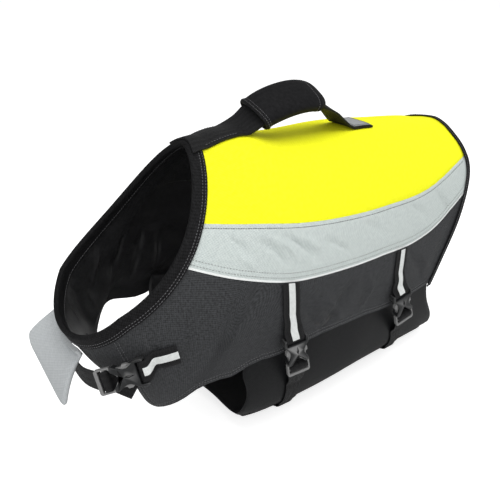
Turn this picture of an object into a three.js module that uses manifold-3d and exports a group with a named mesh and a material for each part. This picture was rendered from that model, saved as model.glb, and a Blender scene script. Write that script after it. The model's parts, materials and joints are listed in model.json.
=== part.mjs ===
// Dog life jacket, large size: a padded vest of sewn panels, worn round the
// chest, with a lifting handle and side-release buckles.
// Millimetres, +Z up. The head end points to -X, the tail end to +X, and the
// wearer's left side is at -Y. The origin is under the middle of the back.
import * as THREE from 'three';
import Module from 'manifold-3d';

const wasm = await Module();
wasm.setup();

// Pattern frame: X = 0 lies 30 mm in front of the neck edge on the back, and
// Z = 0 is 8 mm below it. The wearer's back carries the jacket at this point.
const HELD_AT = { x: 215, z: -19 };

// The body is a row of rings from the neck edge to the tail edge. Each ring
// runs from a point on the back to one under the belly.
// low: how far the widest place sinks. roundTop and roundBottom: 1 is an
// ellipse, less is squarer. bow: how far the ring's side lies back of straight.
// yellow and grey: where the lower seams of those panels cross the ring, as
// shares of the way round from the back (0) to the belly (1).
const SECTION_COLUMNS = ['backX', 'backZ', 'bellyX', 'bellyZ', 'halfWidth',
  'low', 'roundTop', 'roundBottom', 'bow', 'yellow', 'grey'];
const SECTIONS = [
  [30, 8, -110, -149, 71, 0.75, 0.95, 1.0, 14, 0.295, 0.425],
  [85, 8, -62, -236, 96, 0.85, 0.80, 0.68, 8, 0.290, 0.416],
  [130, -4.5, 0, -286, 105, 0.92, 0.70, 0.60, 3, 0.284, 0.412],
  [180, -10, 62, -310, 107, 1.0, 0.66, 0.52, 0, 0.299, 0.421],
  [245, -11.5, 155, -316, 104, 1.0, 0.64, 0.48, 0, 0.306, 0.426],
  [325, -20, 260, -317, 96, 1.0, 0.68, 0.48, 0, 0.292, 0.416],
  [415, -29, 375, -322, 86, 1.0, 0.78, 0.50, 0, 0.214, 0.318],
];
const SECTION_ROWS = SECTIONS.map((values, index) => [index, ...values]);

// Lower edge of a side panel: ring number, share of the way round on the left
// and on the right. The first rows are the front edge of the chest lobe, then
// come its corner and the leg arch, which lies further forward on the right.
const SIDE_HEM = [
  [0, 0.738, 0.738], [0.5, 0.800, 0.800], [0.72, 0.829, 0.827], [0.86, 0.846, 0.830],
  [0.91, 0.852, 0.796], [0.95, 0.855, 0.724], [1.0, 0.857, 0.682], [1.06, 0.854, 0.667],
  [1.10, 0.842, 0.661], [1.17, 0.775, 0.655], [1.24, 0.706, 0.651], [1.33, 0.674, 0.647],
  [1.45, 0.652, 0.642], [1.6, 0.639, 0.636], [1.8, 0.606, 0.622], [2.0, 0.589, 0.601],
  [2.5, 0.576, 0.580], [3, 0.566, 0.567], [3.5, 0.562, 0.562], [4, 0.567, 0.567],
  [4.5, 0.578, 0.578], [5, 0.577, 0.577], [5.5, 0.562, 0.562], [6, 0.545, 0.545],
];
// Tail edge of the back, bands and sides: share of the way round, ring number.
const TAIL_EDGE = [
  [0, 5.97], [0.05, 5.88], [0.12, 5.84], [0.2, 5.91], [0.25, 5.94],
  [0.3, 5.90], [0.4, 5.70], [0.5, 5.46], [0.6, 5.30],
];
// The belly panel: share of the way round, front ring number, rear one.
const BELLY_EDGES = [
  [0.545, 1.75, 5.38], [0.60, 1.77, 5.45], [0.65, 1.93, 5.57],
  [0.70, 2.20, 5.73], [0.75, 2.38, 5.88], [0.82, 2.53, 6.03],
  [0.9, 2.73, 6.12], [1.0, 2.86, 6.18],
];
// Middle line of each belly strap: share of the way round, ring number.
const STRAP_LINES = {
  front: [[0.40, 1.93], [0.5, 2.24], [0.6, 2.70], [0.7, 3.14], [0.8, 3.39], [0.9, 3.54], [1, 3.58]],
  rear: [[0.40, 4.43], [0.5, 4.47], [0.6, 4.72], [0.67, 4.93], [0.77, 5.18], [0.9, 5.36], [1, 5.40]],
};
const BUCKLE_AT = { front: 0.580, rear: 0.583 };

const GAP = 0.3;
const FOAM = 8;
const EDGE_THICK = 3;
const CROWN = 2.2;
const FLAT_EDGE = 14;
const FULL_FOAM = 38;
const NECK_TAPE = 12;
const TAIL_TAPE = 7;
const TAPE_THICK = 1.1;
const WEBBING = 20;
const WEBBING_THICK = 1.5;
const REFLECTIVE = 7.5;
const REFLECTIVE_THICK = 0.6;
const LAID_ON = 0.5;
const BELLY_INSET = 5.6;
const BELLY_THICK = 4;

const COLOURS = {
  yellow: { color: 0xf4fa32, roughness: 0.75, metalness: 0 },
  grey: { color: 0xc3ccca, roughness: 0.5, metalness: 0 },
  charcoal: { color: 0x33353a, roughness: 0.85, metalness: 0 },
  belly: { color: 0x222427, roughness: 0.9, metalness: 0 },
  black: { color: 0x17181a, roughness: 0.8, metalness: 0 },
  reflective: { color: 0xdfe3e2, roughness: 0.4, metalness: 0 },
  foam: { color: 0xbcc1c2, roughness: 0.9, metalness: 0 },
  plastic: { color: 0x26282a, roughness: 0.35, metalness: 0 },
};

const jacket = new THREE.Group();
const garment = new THREE.Group();
garment.position.set(-HELD_AT.x, 0, -HELD_AT.z);
jacket.add(garment);

function addMesh(name, geometry, look) {
  const mesh = new THREE.Mesh(geometry, new THREE.MeshStandardMaterial(COLOURS[look]));
  mesh.name = name;
  garment.add(mesh);
  return mesh;
}

// A smooth curve through the rows of a table, read at its first column.
function readTable(rows, at) {
  const last = rows.length - 1;
  let k = 0;
  while (k < last - 1 && at > rows[k + 1][0]) k += 1;
  const width = rows[k + 1][0] - rows[k][0];
  const u = (at - rows[k][0]) / width;
  const slope = (i, c) => {
    const a = Math.max(i - 1, 0);
    const b = Math.min(i + 1, last);
    return width * (rows[b][c] - rows[a][c]) / (rows[b][0] - rows[a][0]);
  };
  const blend = [
    2 * u ** 3 - 3 * u ** 2 + 1, u ** 3 - 2 * u ** 2 + u,
    3 * u ** 2 - 2 * u ** 3, u ** 3 - u ** 2,
  ];
  return rows[k].slice(1).map((value, i) => blend[0] * value + blend[1] * slope(k, i + 1)
    + blend[2] * rows[k + 1][i + 1] + blend[3] * slope(k + 1, i + 1));
}

// Straight lines between the rows, for edges with corners.
function readLine(rows, at) {
  let k = 0;
  while (k < rows.length - 2 && at > rows[k + 1][0]) k += 1;
  const u = THREE.MathUtils.clamp((at - rows[k][0]) / (rows[k + 1][0] - rows[k][0]), 0, 1);
  return rows[k].slice(1).map((value, i) => value + u * (rows[k + 1][i + 1] - value));
}

function section(ring) {
  const values = readTable(SECTION_ROWS, ring);
  return Object.fromEntries(SECTION_COLUMNS.map((name, i) => [name, values[i]]));
}

// A point of the jacket's outer cut surface. round is the signed share of the
// way from the back to the belly: negative on the wearer's left.
function cutPoint(ring, round) {
  const c = section(ring);
  const share = Math.min(Math.abs(round), 1);
  const down = ((1 - Math.cos(Math.PI * share)) / 2) ** c.low;
  const power = share < 0.5 ? c.roundTop : c.roundBottom;
  const wide = c.halfWidth * Math.max(Math.sin(Math.PI * share), 0) ** power;
  const dx = c.bellyX - c.backX;
  const dz = c.bellyZ - c.backZ;
  const length = Math.hypot(dx, dz);
  const bow = c.bow * Math.sin(Math.PI * Math.min(down / 0.8, 1));
  return new THREE.Vector3(c.backX + dx * down - bow * dz / length,
    Math.sign(round) * wide, c.backZ + dz * down + bow * dx / length);
}

const STEP = 0.004;
function alongRing(ring, round) {
  const from = Math.abs(round) + STEP > 1 ? round - Math.sign(round) * STEP : round;
  const a = cutPoint(ring, from - STEP);
  const b = cutPoint(ring, from + STEP);
  return b.sub(a).divideScalar(2 * STEP);
}
function alongBack(ring, round) {
  return cutPoint(ring + STEP, round).sub(cutPoint(ring - STEP, round)).divideScalar(2 * STEP);
}
function outward(ring, round) {
  if (Math.abs(round) < 2 * STEP || Math.abs(round) > 1 - 2 * STEP) {
    const side = alongBack(ring, round).cross(new THREE.Vector3(0, 1, 0)).normalize();
    return Math.abs(round) < 0.5 ? side : side.negate();
  }
  return alongBack(ring, round).cross(alongRing(ring, round)).normalize();
}
const mmRound = (ring, round) => alongRing(ring, round).length();
const mmBack = (ring, round) => alongBack(ring, round).length();

const yellowSeam = (ring) => section(ring).yellow;
const greySeam = (ring) => section(ring).grey;
const sideHem = (ring, sign = -1) => readLine(SIDE_HEM, ring)[sign < 0 ? 0 : 1];
const tailEdge = (round) => readTable(TAIL_EDGE, Math.abs(round))[0];

const smooth = (from, to, value) => THREE.MathUtils.smoothstep(value, from, to);

// Distance in millimetres to the nearest open edge of the vest.
function toEdge(ring, round) {
  const share = Math.abs(round);
  return Math.min(ring * mmBack(ring, round),
    (tailEdge(share) - ring) * mmBack(ring, round),
    Math.max(sideHem(ring, Math.sign(round)) - share, 0) * mmRound(ring, round));
}
// The foam thins to the bound edges.
function wall(ring, round) {
  return EDGE_THICK + (FOAM - EDGE_THICK) * smooth(FLAT_EDGE, FULL_FOAM, toEdge(ring, round));
}
// Each padded panel swells a little between its seams. The bands stay flat.
function crown(ring, round) {
  const share = Math.abs(round);
  const yellow = yellowSeam(ring);
  const grey = greySeam(ring);
  const hem = sideHem(ring, Math.sign(round));
  const edge = smooth(FLAT_EDGE, FULL_FOAM, toEdge(ring, round));
  if (share <= yellow) return CROWN * edge * (1 - (share / yellow) ** 4);
  if (share <= grey || share >= hem) return 0;
  return CROWN * edge * Math.sin(Math.PI * (share - grey) / (hem - grey));
}
// A point that lies height millimetres outside the finished vest.
function onVest(ring, round, height) {
  return cutPoint(ring, round).addScaledVector(outward(ring, round), crown(ring, round) + height);
}
function insideVest(ring, round, height = 0) {
  return cutPoint(ring, round).addScaledVector(outward(ring, round), -wall(ring, round) - height);
}

// A closed wall between two grids of points, which may join up with itself
// along its rows or its columns.
function wallMesh(front, back, loopRows = false, loopColumns = false) {
  const rows = front.length;
  const columns = front[0].length;
  const points = [];
  for (const grid of [front, back]) {
    for (const row of grid) for (const p of row) points.push(p.x, p.y, p.z);
  }
  const at = (side, i, j) => side * rows * columns + (i % rows) * columns + (j % columns);
  const faces = [];
  const quad = (a, b, c, d) => faces.push(a, b, c, a, c, d);
  const rowCells = loopRows ? rows : rows - 1;
  const columnCells = loopColumns ? columns : columns - 1;
  for (let i = 0; i < rowCells; i += 1) {
    for (let j = 0; j < columnCells; j += 1) {
      quad(at(0, i, j), at(0, i + 1, j), at(0, i + 1, j + 1), at(0, i, j + 1));
      quad(at(1, i, j), at(1, i, j + 1), at(1, i + 1, j + 1), at(1, i + 1, j));
    }
  }
  if (!loopRows) {
    for (let j = 0; j < columnCells; j += 1) {
      quad(at(0, 0, j), at(0, 0, j + 1), at(1, 0, j + 1), at(1, 0, j));
      quad(at(0, rows - 1, j), at(1, rows - 1, j), at(1, rows - 1, j + 1), at(0, rows - 1, j + 1));
    }
  }
  if (!loopColumns) {
    for (let i = 0; i < rowCells; i += 1) {
      quad(at(0, i, 0), at(1, i, 0), at(1, i + 1, 0), at(0, i + 1, 0));
      quad(at(0, i, columns - 1), at(0, i + 1, columns - 1), at(1, i + 1, columns - 1), at(1, i, columns - 1));
    }
  }
  return facingOut(points, faces);
}

// Turns the faces round if the solid would be inside out.
function facingOut(points, faces) {
  let volume = 0;
  const p = (i) => new THREE.Vector3(points[3 * i], points[3 * i + 1], points[3 * i + 2]);
  for (let k = 0; k < faces.length; k += 3) {
    volume += p(faces[k]).dot(p(faces[k + 1]).cross(p(faces[k + 2])));
  }
  const order = volume < 0 ? faces.slice().reverse() : faces;
  const geometry = new THREE.BufferGeometry();
  geometry.setAttribute('position', new THREE.Float32BufferAttribute(points, 3));
  geometry.setIndex(order);
  geometry.computeVertexNormals();
  return geometry;
}

const spread = (count, from = 0, to = 1) =>
  Array.from({ length: count + 1 }, (_, i) => from + (to - from) * i / count);

// Places along the back, from the neck edge to the tail edge. The first and
// last steps are as wide as the edge tapes, so tape and panel share points.
const BACK_STEPS = [0, 0.035, 0.07, 0.105, 0.14, 0.155, 0.17, 0.185, 0.2, 0.22, 0.245,
  0.28, 0.33, 0.38, 0.44, 0.5, 0.56, 0.62, 0.68, 0.74, 0.8, 0.86, 0.92, 1];
function ringStops(round) {
  const rear = tailEdge(round);
  const first = NECK_TAPE / mmBack(0.1, round);
  const last = rear - TAIL_TAPE / mmBack(rear - 0.05, round);
  return [0, ...BACK_STEPS.map((u) => first + (last - first) * u), rear];
}

// A panel between two seams, given as functions of the ring. The point at
// share v of the way between them is found by going round twice, because the
// stops along the back depend a little on how far round they are.
function panelStops(fromSeam, toSeam, v) {
  const count = ringStops(0.3).length;
  return spread(count - 1).map((_, k) => {
    let ring = ringStops(0.4)[k];
    let round = 0;
    for (let turn = 0; turn < 3; turn += 1) {
      round = fromSeam(ring) + (toSeam(ring) - fromSeam(ring)) * v;
      ring = ringStops(Math.min(Math.abs(round), 0.6))[k];
    }
    return [ring, round];
  });
}
function panel(name, look, fromSeam, toSeam, rows) {
  const stops = spread(rows).map((v) => panelStops(fromSeam, toSeam, v));
  addMesh(name, wallMesh(stops.map((row) => row.map(([s, t]) => onVest(s, t, 0))),
    stops.map((row) => row.map(([s, t]) => insideVest(s, t)))), look);
  return stops;
}
const halfGap = (ring, round) => GAP / 2 / mmRound(ring, round);

// Panels. left is the wearer's left, at -Y.
const SIDES = { left: -1, right: 1 };

const stopsOf = {};
stopsOf.back = panel('back_panel', 'yellow',
  (s) => -yellowSeam(s) + halfGap(s, 0.3), (s) => yellowSeam(s) - halfGap(s, 0.3), 18);
for (const [side, sign] of Object.entries(SIDES)) {
  stopsOf[`band_${side}`] = panel(`band_${side}`, 'grey',
    (s) => sign * (yellowSeam(s) + halfGap(s, 0.3)), (s) => sign * (greySeam(s) - halfGap(s, 0.4)), 4);
  stopsOf[`side_${side}`] = panel(`side_${side}`, 'charcoal',
    (s) => sign * (greySeam(s) + halfGap(s, 0.4)), (s) => sign * sideHem(s, sign), 11);
}

// A short wrap across the throat joins the two chest lobes at the neck edge.
// Its lower border runs deeper towards the right lobe, to which it is sewn.
const WRAP_BORDER = [[-1, 0.55], [-0.5, 0.50], [0, 0.45], [0.5, 0.52], [1, 0.66]];
const wrapStops = spread(12, -1, 1).map((across) => {
  const [low] = readTable(WRAP_BORDER, across);
  const first = NECK_TAPE / mmBack(0.1, 0.98);
  const sign = across < 0 ? -1 : 1;
  return [0, ...spread(4, first, low)].map((ring) => {
    const lobe = sideHem(ring, sign) + GAP / mmRound(ring, 0.8);
    return [ring, (1 - Math.abs(across) * (1 - lobe)) * sign];
  });
});
addMesh('throat_wrap', wallMesh(wrapStops.map((row) => row.map(([s, t]) => onVest(s, t, 0))),
  wrapStops.map((row) => row.map(([s, t]) => insideVest(s, t)))), 'charcoal');

// The belly panel hangs inside the side panels, and its pad lies under it.
const tuckedTop = (ring) => sideHem(Math.max(ring, 2)) - 0.022;
function bellyStops(topShare, rows, columns, trim) {
  return spread(rows, -1, 1).map((across) => spread(columns).map((u) => {
    let ring = 3.5;
    let share = 1;
    for (let turn = 0; turn < 3; turn += 1) {
      share = 1 - Math.abs(across) * (1 - topShare(ring));
      const [front, rear] = readTable(BELLY_EDGES, share);
      ring = front + trim + (rear - front - 2 * trim) * u;
    }
    return [ring, share * (across < 0 ? -1 : 1)];
  }));
}
function bellyLayer(name, look, stops, low, high) {
  const layer = (height) => stops.map((row) => row
    .map(([s, t]) => cutPoint(s, t).addScaledVector(outward(s, t), height)));
  addMesh(name, wallMesh(layer(high), layer(low)), look);
}
const PAD = { topShare: 0.90, thick: 3, trim: 0.12 };
bellyLayer('belly_panel', 'belly', bellyStops(tuckedTop, 24, 14, 0), -BELLY_INSET - BELLY_THICK, -BELLY_INSET);
bellyLayer('belly_pad', 'black', bellyStops(() => PAD.topShare, 8, 14, PAD.trim),
  -BELLY_INSET + LAID_ON, -BELLY_INSET + LAID_ON + PAD.thick);

// Edge tape folded over the vest's edge. ahead points out of the edge. Each
// stop pairs a point on the edge with one at the tape's inner border.
function edgeTape(name, pairs, direction, closed) {
  const clear = 0.35;
  const profile = (border, edge, away) => {
    const ahead = alongBack(...edge).normalize().multiplyScalar(direction);
    const out = outward(...edge);
    const over = (at, height) => cutPoint(...at).addScaledVector(outward(...at), height);
    return [
      over(border, away),
      over(edge, away).addScaledVector(ahead, away * 0.8),
      cutPoint(...edge).addScaledVector(out, -EDGE_THICK / 2).addScaledVector(ahead, away * 1.3),
      over(edge, -EDGE_THICK - away).addScaledVector(ahead, away * 0.8),
      over(border, -EDGE_THICK - away),
    ];
  };
  addMesh(name, wallMesh(pairs.map(([border, edge]) => profile(border, edge, clear + TAPE_THICK)),
    pairs.map(([border, edge]) => profile(border, edge, clear)), closed), 'black');
}
// Drops stops that lie within a millimetre of the one before, at the seams.
function thinned(pairs) {
  return pairs.filter(([, edge], i) => i === 0
    || cutPoint(...edge).distanceTo(cutPoint(...pairs[i - 1][1])) > 1);
}
const leftDown = [...stopsOf.band_left, ...stopsOf.side_left];
const rightDown = [...stopsOf.band_right, ...stopsOf.side_right];
const around = [...leftDown.slice().reverse(), ...stopsOf.back, ...rightDown];
const neckPairs = [...around, ...wrapStops.slice().reverse().slice(1, -1)].map((stops) => [stops[1], stops[0]]);
edgeTape('neck_binding', thinned(neckPairs), -1, true);
const tailPairs = around.map((stops) => [stops[stops.length - 2], stops[stops.length - 1]]);
edgeTape('tail_binding', thinned(tailPairs), 1, false);

// Webbing. Each row of a strap is a middle point and the direction across.
function strapGrid(rows, width, thick, lift = 0) {
  const normals = rows.map((row, i) => {
    const a = rows[Math.max(i - 1, 0)].at;
    const b = rows[Math.min(i + 1, rows.length - 1)].at;
    return b.clone().sub(a).cross(row.across).normalize();
  });
  const grid = (height) => rows.map((row, i) => [-0.5, 0, 0.5].map((k) => row.at.clone()
    .addScaledVector(normals[i], height).addScaledVector(row.across, k * width)));
  return [grid(lift + thick / 2), grid(lift - thick / 2)];
}
function strap(name, look, rows, width, thick, lift) {
  addMesh(name, wallMesh(...strapGrid(rows, width, thick, lift)), look);
}
// Reflective tape along the first rows of a strap.
function addTape(name, rows, count) {
  const grids = strapGrid(rows, REFLECTIVE, REFLECTIVE_THICK, (WEBBING_THICK + REFLECTIVE_THICK) / 2 + GAP);
  addMesh(name, wallMesh(...grids.map((grid) => grid.slice(0, count))), 'reflective');
}

// A 20 mm side-release buckle. x runs across it, y towards the socket's end,
// z out of its face, and the middle of the closed buckle is at 0.
const BUCKLE = { width: 26, thick: 8.4, socketEnd: 24.5, bodyEnd: 17, bar: [19.8, 22.6], plate: 4 };

function box(x0, x1, y0, y1, z0, z1) {
  const geometry = new THREE.BoxGeometry(x1 - x0, y1 - y0, z1 - z0);
  geometry.translate((x0 + x1) / 2, (y0 + y1) / 2, (z0 + z1) / 2);
  return geometry;
}
function slab(outline, thick) {
  const geometry = new THREE.ExtrudeGeometry(new THREE.Shape(outline.map(([x, y]) => new THREE.Vector2(x, y))),
    { depth: thick, bevelEnabled: false });
  geometry.translate(0, 0, -thick / 2);
  return geometry;
}
const mirrored = (half) => [...half, ...half.slice().reverse().map(([x, y]) => [-x, y])];

function toSolid(geometry) {
  const indexed = geometry.index ? geometry : geometry.clone();
  const keys = new Map();
  const vertices = [];
  const position = indexed.attributes.position;
  const remap = Array.from({ length: position.count }, (_, i) => {
    const p = [position.getX(i), position.getY(i), position.getZ(i)];
    const key = p.map((value) => value.toFixed(4)).join();
    if (!keys.has(key)) {
      keys.set(key, vertices.length / 3);
      vertices.push(...p);
    }
    return keys.get(key);
  });
  const order = indexed.index ? Array.from(indexed.index.array) : remap.map((_, i) => i);
  return new wasm.Manifold(new wasm.Mesh({
    numProp: 3,
    vertProperties: new Float32Array(vertices),
    triVerts: new Uint32Array(order.map((i) => remap[i])),
  }));
}
function fromSolid(solid) {
  const mesh = solid.getMesh();
  const geometry = new THREE.BufferGeometry();
  geometry.setAttribute('position', new THREE.BufferAttribute(mesh.vertProperties, 3));
  geometry.setIndex(new THREE.BufferAttribute(mesh.triVerts, 1));
  geometry.computeVertexNormals();
  return geometry;
}

// The socket is drawn in at its waist, where the prongs show, and its mouth
// is cut to an upturned V between two feet.
const SOCKET_HALF = [[0, 2.4], [7.2, -7.4], [8.6, -8], [11.4, -7.6], [11.8, -5], [9.0, 0.5], [7.4, 4.5],
  [7.6, 8], [9.8, 12], [12.2, 15.4], [13, 18.6], [13, 23.4], [12, 24.5], [0, 24.5]];
function buckleSocket() {
  const { thick, socketEnd, bodyEnd, bar } = BUCKLE;
  let socket = toSolid(slab(mirrored(SOCKET_HALF), thick));
  const cuts = [
    box(-10.2, 10.2, -9, 14.8, -2.3, 2.3),
    box(-10.6, 10.6, bodyEnd, bar[0], -thick, thick),
    box(-10.6, 10.6, bodyEnd, socketEnd + 1, 1.3, thick),
    box(-10.6, 10.6, bodyEnd, socketEnd + 1, -thick, -1.3),
    box(-10.6, 10.6, bar[1], socketEnd + 1, -thick, thick),
    slab([[0, 4.5], [1, 8], [0, 13], [-1, 8]], thick).translate(0, 0, thick / 2 + 2),
  ];
  for (const cut of cuts) socket = socket.subtract(toSolid(cut));
  return fromSolid(socket);
}
const PLUG_HALF = [[0, 0.4], [9.4, 0.4], [9.6, -8.4], [12.2, -8.4], [12.4, -21.4], [11, -23.2], [0, -23.2]];
const PRONG = [[7, 0], [7, 9.5], [8.4, 13.4], [9.8, 13.4], [9.8, 10.6], [11.4, 8.6], [11.6, 4.4], [9.6, 3.2], [9.4, 0]];
const WINDOW_HALF = [[0, -1.2], [9.6, -9.2], [10.6, -10.4], [10.6, -13.2], [0, -13.2]];
const GUIDE_HALF = [[0, 0], [1.6, 0], [1.6, 11], [0.8, 12.6], [0, 12.6]];
function bucklePlug() {
  const { plate } = BUCKLE;
  let plug = toSolid(slab(mirrored(PLUG_HALF), plate));
  plug = plug.add(toSolid(slab(PRONG, plate)));
  plug = plug.add(toSolid(slab(PRONG.map(([x, y]) => [-x, y]).reverse(), plate)));
  plug = plug.add(toSolid(slab(mirrored(GUIDE_HALF), plate)));
  plug = plug.subtract(toSolid(slab(mirrored(WINDOW_HALF), 2 * plate)));
  plug = plug.subtract(toSolid(box(-10.6, 10.6, -20, -15.6, -plate, plate)));
  return fromSolid(plug);
}

// The buckle's place in the world: middle, direction to the socket end, face.
function buckleFrame(middle, up, face) {
  const y = up.clone().normalize();
  const z = face.clone().addScaledVector(y, -face.dot(y)).normalize();
  const x = y.clone().cross(z);
  return new THREE.Matrix4().makeBasis(x, y, z).setPosition(middle);
}
function addBuckle(name, frame) {
  addMesh(`${name}_socket`, buckleSocket().applyMatrix4(frame), 'plastic');
  addMesh(`${name}_plug`, bucklePlug().applyMatrix4(frame), 'plastic');
}
// A strap's path round the socket's bar, as y and z of the buckle: the upper
// layer comes in from the strap, and the end lies folded back under it.
const LOOP_IN = [[32, -0.6], [26, 1.7], [22.4, 2.5], [19.5, 2.2], [18.4, 0.8]];
const LOOP_BACK = [[18.4, -0.8], [19.5, -2.2], [22.4, -2.5], [27, -3.4]];
// The path through the plug's frame: under its inner bar, over the middle
// one and out under the frame's end.
const THREADED = [[-5, -5.6], [-8.6, -5.4], [-10.2, -3.4], [-10.9, -1.4], [-11.2, 0.4],
  [-11.9, 2.5], [-13.2, 3.3], [-15.6, 3.3], [-16.9, 2.5], [-17.6, 0.4], [-18.0, -1.4],
  [-19.4, -3.0], [-21.6, -3.2], [-26, -3.8]];

// Rows between two others, for a stretch of strap that turns on its way.
const turned = (a, b, count) => spread(count + 1).slice(1, -1).map((u) => ({
  at: a.at.clone().lerp(b.at, u), across: a.across.clone().lerp(b.across, u).normalize(),
}));
function inBuckle(frame, path) {
  const across = new THREE.Vector3().setFromMatrixColumn(frame, 0);
  return path.map(([y, z]) => ({ at: new THREE.Vector3(0, y, z).applyMatrix4(frame), across }));
}

// Four belly straps: an upper strap with a reflective tape on each side, and
// one long lower strap that runs under the belly from buckle to buckle.
// A buckle hangs steeper than the panel behind it, so its lower end stands off,
// and its face is turned a little to the head end.
const BUCKLE_RISE = 7.4;
const BUCKLE_PLUMB = 0.3;
const BUCKLE_TURN = new THREE.Vector3(-0.2, 0, 0);
for (const [place, line] of Object.entries(STRAP_LINES)) {
  const ringAt = (share) => readTable(line, share)[0];
  const lowerHalves = {};
  for (const [side, sign] of Object.entries(SIDES)) {
    const across = (share) => alongBack(ringAt(share), sign * share).normalize().multiplyScalar(-sign);
    const onLine = (share, height) => ({ at: onVest(ringAt(share), sign * share, height), across: across(share) });
    const share = BUCKLE_AT[place];
    const span = mmRound(ringAt(share), sign * share);
    const top = onLine(share - BUCKLE.bodyEnd / span, BUCKLE_RISE).at;
    const up = top.clone().sub(onLine(share, BUCKLE_RISE).at);
    up.y *= BUCKLE_PLUMB;
    up.normalize();
    const frame = buckleFrame(top.clone().addScaledVector(up, -BUCKLE.bodyEnd), up,
      outward(ringAt(share), sign * share).add(BUCKLE_TURN));
    addBuckle(`${place}_buckle_${side}`, frame);

    const start = greySeam(ringAt(0.42)) + 0.003;
    const leave = share - 47 / span;
    const lifted = onLine(share - 39 / span, 3.1);
    const loop = inBuckle(frame, LOOP_IN);
    const upper = [
      ...spread(5, start, leave).map((t) => onLine(t, LAID_ON + WEBBING_THICK / 2)),
      lifted,
      ...turned(lifted, loop[0], 3),
      ...loop,
    ];
    const rows = [...upper, ...inBuckle(frame, LOOP_BACK), onLine(share - 33 / span, LAID_ON + WEBBING_THICK / 2)];
    strap(`${place}_strap_${side}`, 'black', rows, WEBBING, WEBBING_THICK, 0);
    addTape(`${place}_reflector_${side}`, rows, upper.length - 2);

    const onBelly = (t, height) => ({
      at: cutPoint(ringAt(t), sign * t).addScaledVector(outward(ringAt(t), sign * t), height),
      across: across(t),
    });
    const bellyHeight = -BELLY_INSET + LAID_ON + WEBBING_THICK / 2;
    const padHeight = bellyHeight + PAD.thick + LAID_ON;
    const landed = share + 60 / span;
    lowerHalves[side] = [
      ...inBuckle(frame, THREADED),
      onBelly(share + 44 / span, 1.6),
      ...spread(3, landed, 0.85).map((t) => onBelly(t, bellyHeight)),
      ...spread(3, 0.89, 0.985).map((t) => onBelly(t, padHeight)),
    ];
  }
  const left = lowerHalves.left;
  const right = lowerHalves.right.slice().reverse().map(({ at, across }) => ({ at, across: across.clone().negate() }));
  strap(`${place}_strap_lower`, 'black', [...left, ...right], WEBBING, WEBBING_THICK, 0);
}

// The chest strap. Its buckle hangs slanting in front of the left lobe.
const CHEST_BUCKLE = {
  middle: new THREE.Vector3(-87.5, -65.2, -172.4),
  toSocket: new THREE.Vector3(0.74, -0.58, 0.30),
  face: new THREE.Vector3(-0.8, -0.5, 0.15),
};
// Sewn patch of the chest strap on a lobe: ring number, share, height.
const CHEST_PATCH = [[0.69, 0.628], [0.635, 0.648], [0.585, 0.668], [0.545, 0.686]];
const chestFrame = buckleFrame(CHEST_BUCKLE.middle, CHEST_BUCKLE.toSocket, CHEST_BUCKLE.face);
addBuckle('chest_buckle', chestFrame);

function patchRows(sign, height) {
  const middles = CHEST_PATCH.map(([s, t]) => onVest(s, sign * t, height));
  return middles.map((at, i) => {
    const a = middles[Math.max(i - 1, 0)];
    const b = middles[Math.min(i + 1, middles.length - 1)];
    const [s, t] = CHEST_PATCH[i];
    return { at, across: outward(s, sign * t).cross(b.clone().sub(a)).normalize() };
  });
}
const CHEST_LAID = 1.0 + WEBBING_THICK / 2;
const chestIn = patchRows(-1, CHEST_LAID);
const flip = (rows) => rows.map(({ at, across }) => ({ at, across: across.clone().negate() }));
const sameWay = (rows, first) => (rows[0].across.dot(first) < 0 ? flip(rows) : rows);
const chestLoop = sameWay(inBuckle(chestFrame, [...LOOP_IN.slice(1), ...LOOP_BACK]), chestIn[3].across);
const chestRows = [...chestIn, ...turned(chestIn[3], chestLoop[0], 4), ...chestLoop];
strap('chest_strap_left', 'black', chestRows, WEBBING, WEBBING_THICK, 0);
addTape('chest_reflector', chestRows, 9);

// From the plug the strap crosses the chest to its patch on the right lobe,
// and its free end hangs back under the buckle.
const CHEST_CROSS = [[-105, -25, -187], [-103, 0, -191], [-99.5, 22, -191], [-94, 44, -186.5], [-84, 62, -179]];
function freeRows(points, axis) {
  const at = points.map(([x, y, z]) => new THREE.Vector3(x, y, z));
  return at.map((p, i) => {
    const along = at[Math.min(i + 1, at.length - 1)].clone().sub(at[Math.max(i - 1, 0)]).normalize();
    const out = new THREE.Vector3(p.x - axis.x, p.y - axis.y, 0).normalize();
    return { at: p, across: out.clone().cross(along).normalize() };
  });
}
const crossing = freeRows(CHEST_CROSS, { x: -30, y: 0 });
const threaded = sameWay(inBuckle(chestFrame, THREADED.slice(0, -1)), crossing[0].across);
const farPatch = patchRows(1, CHEST_LAID).reverse();
strap('chest_strap_right', 'black', [...threaded, ...crossing, ...sameWay(farPatch, crossing[4].across)],
  WEBBING, WEBBING_THICK, 0);
const CHEST_TAIL = [[0, -17.4, -7.6], [6, -10, -8.9], [13, -3, -10.8], [20, 4, -12.8]];
const tailAcross = new THREE.Vector3(0.7, -0.7, 0).transformDirection(chestFrame);
strap('chest_strap_tail', 'black', CHEST_TAIL.map((p) => ({
  at: new THREE.Vector3(...p).applyMatrix4(chestFrame), across: tailAcross,
})), WEBBING, WEBBING_THICK, 0);

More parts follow.
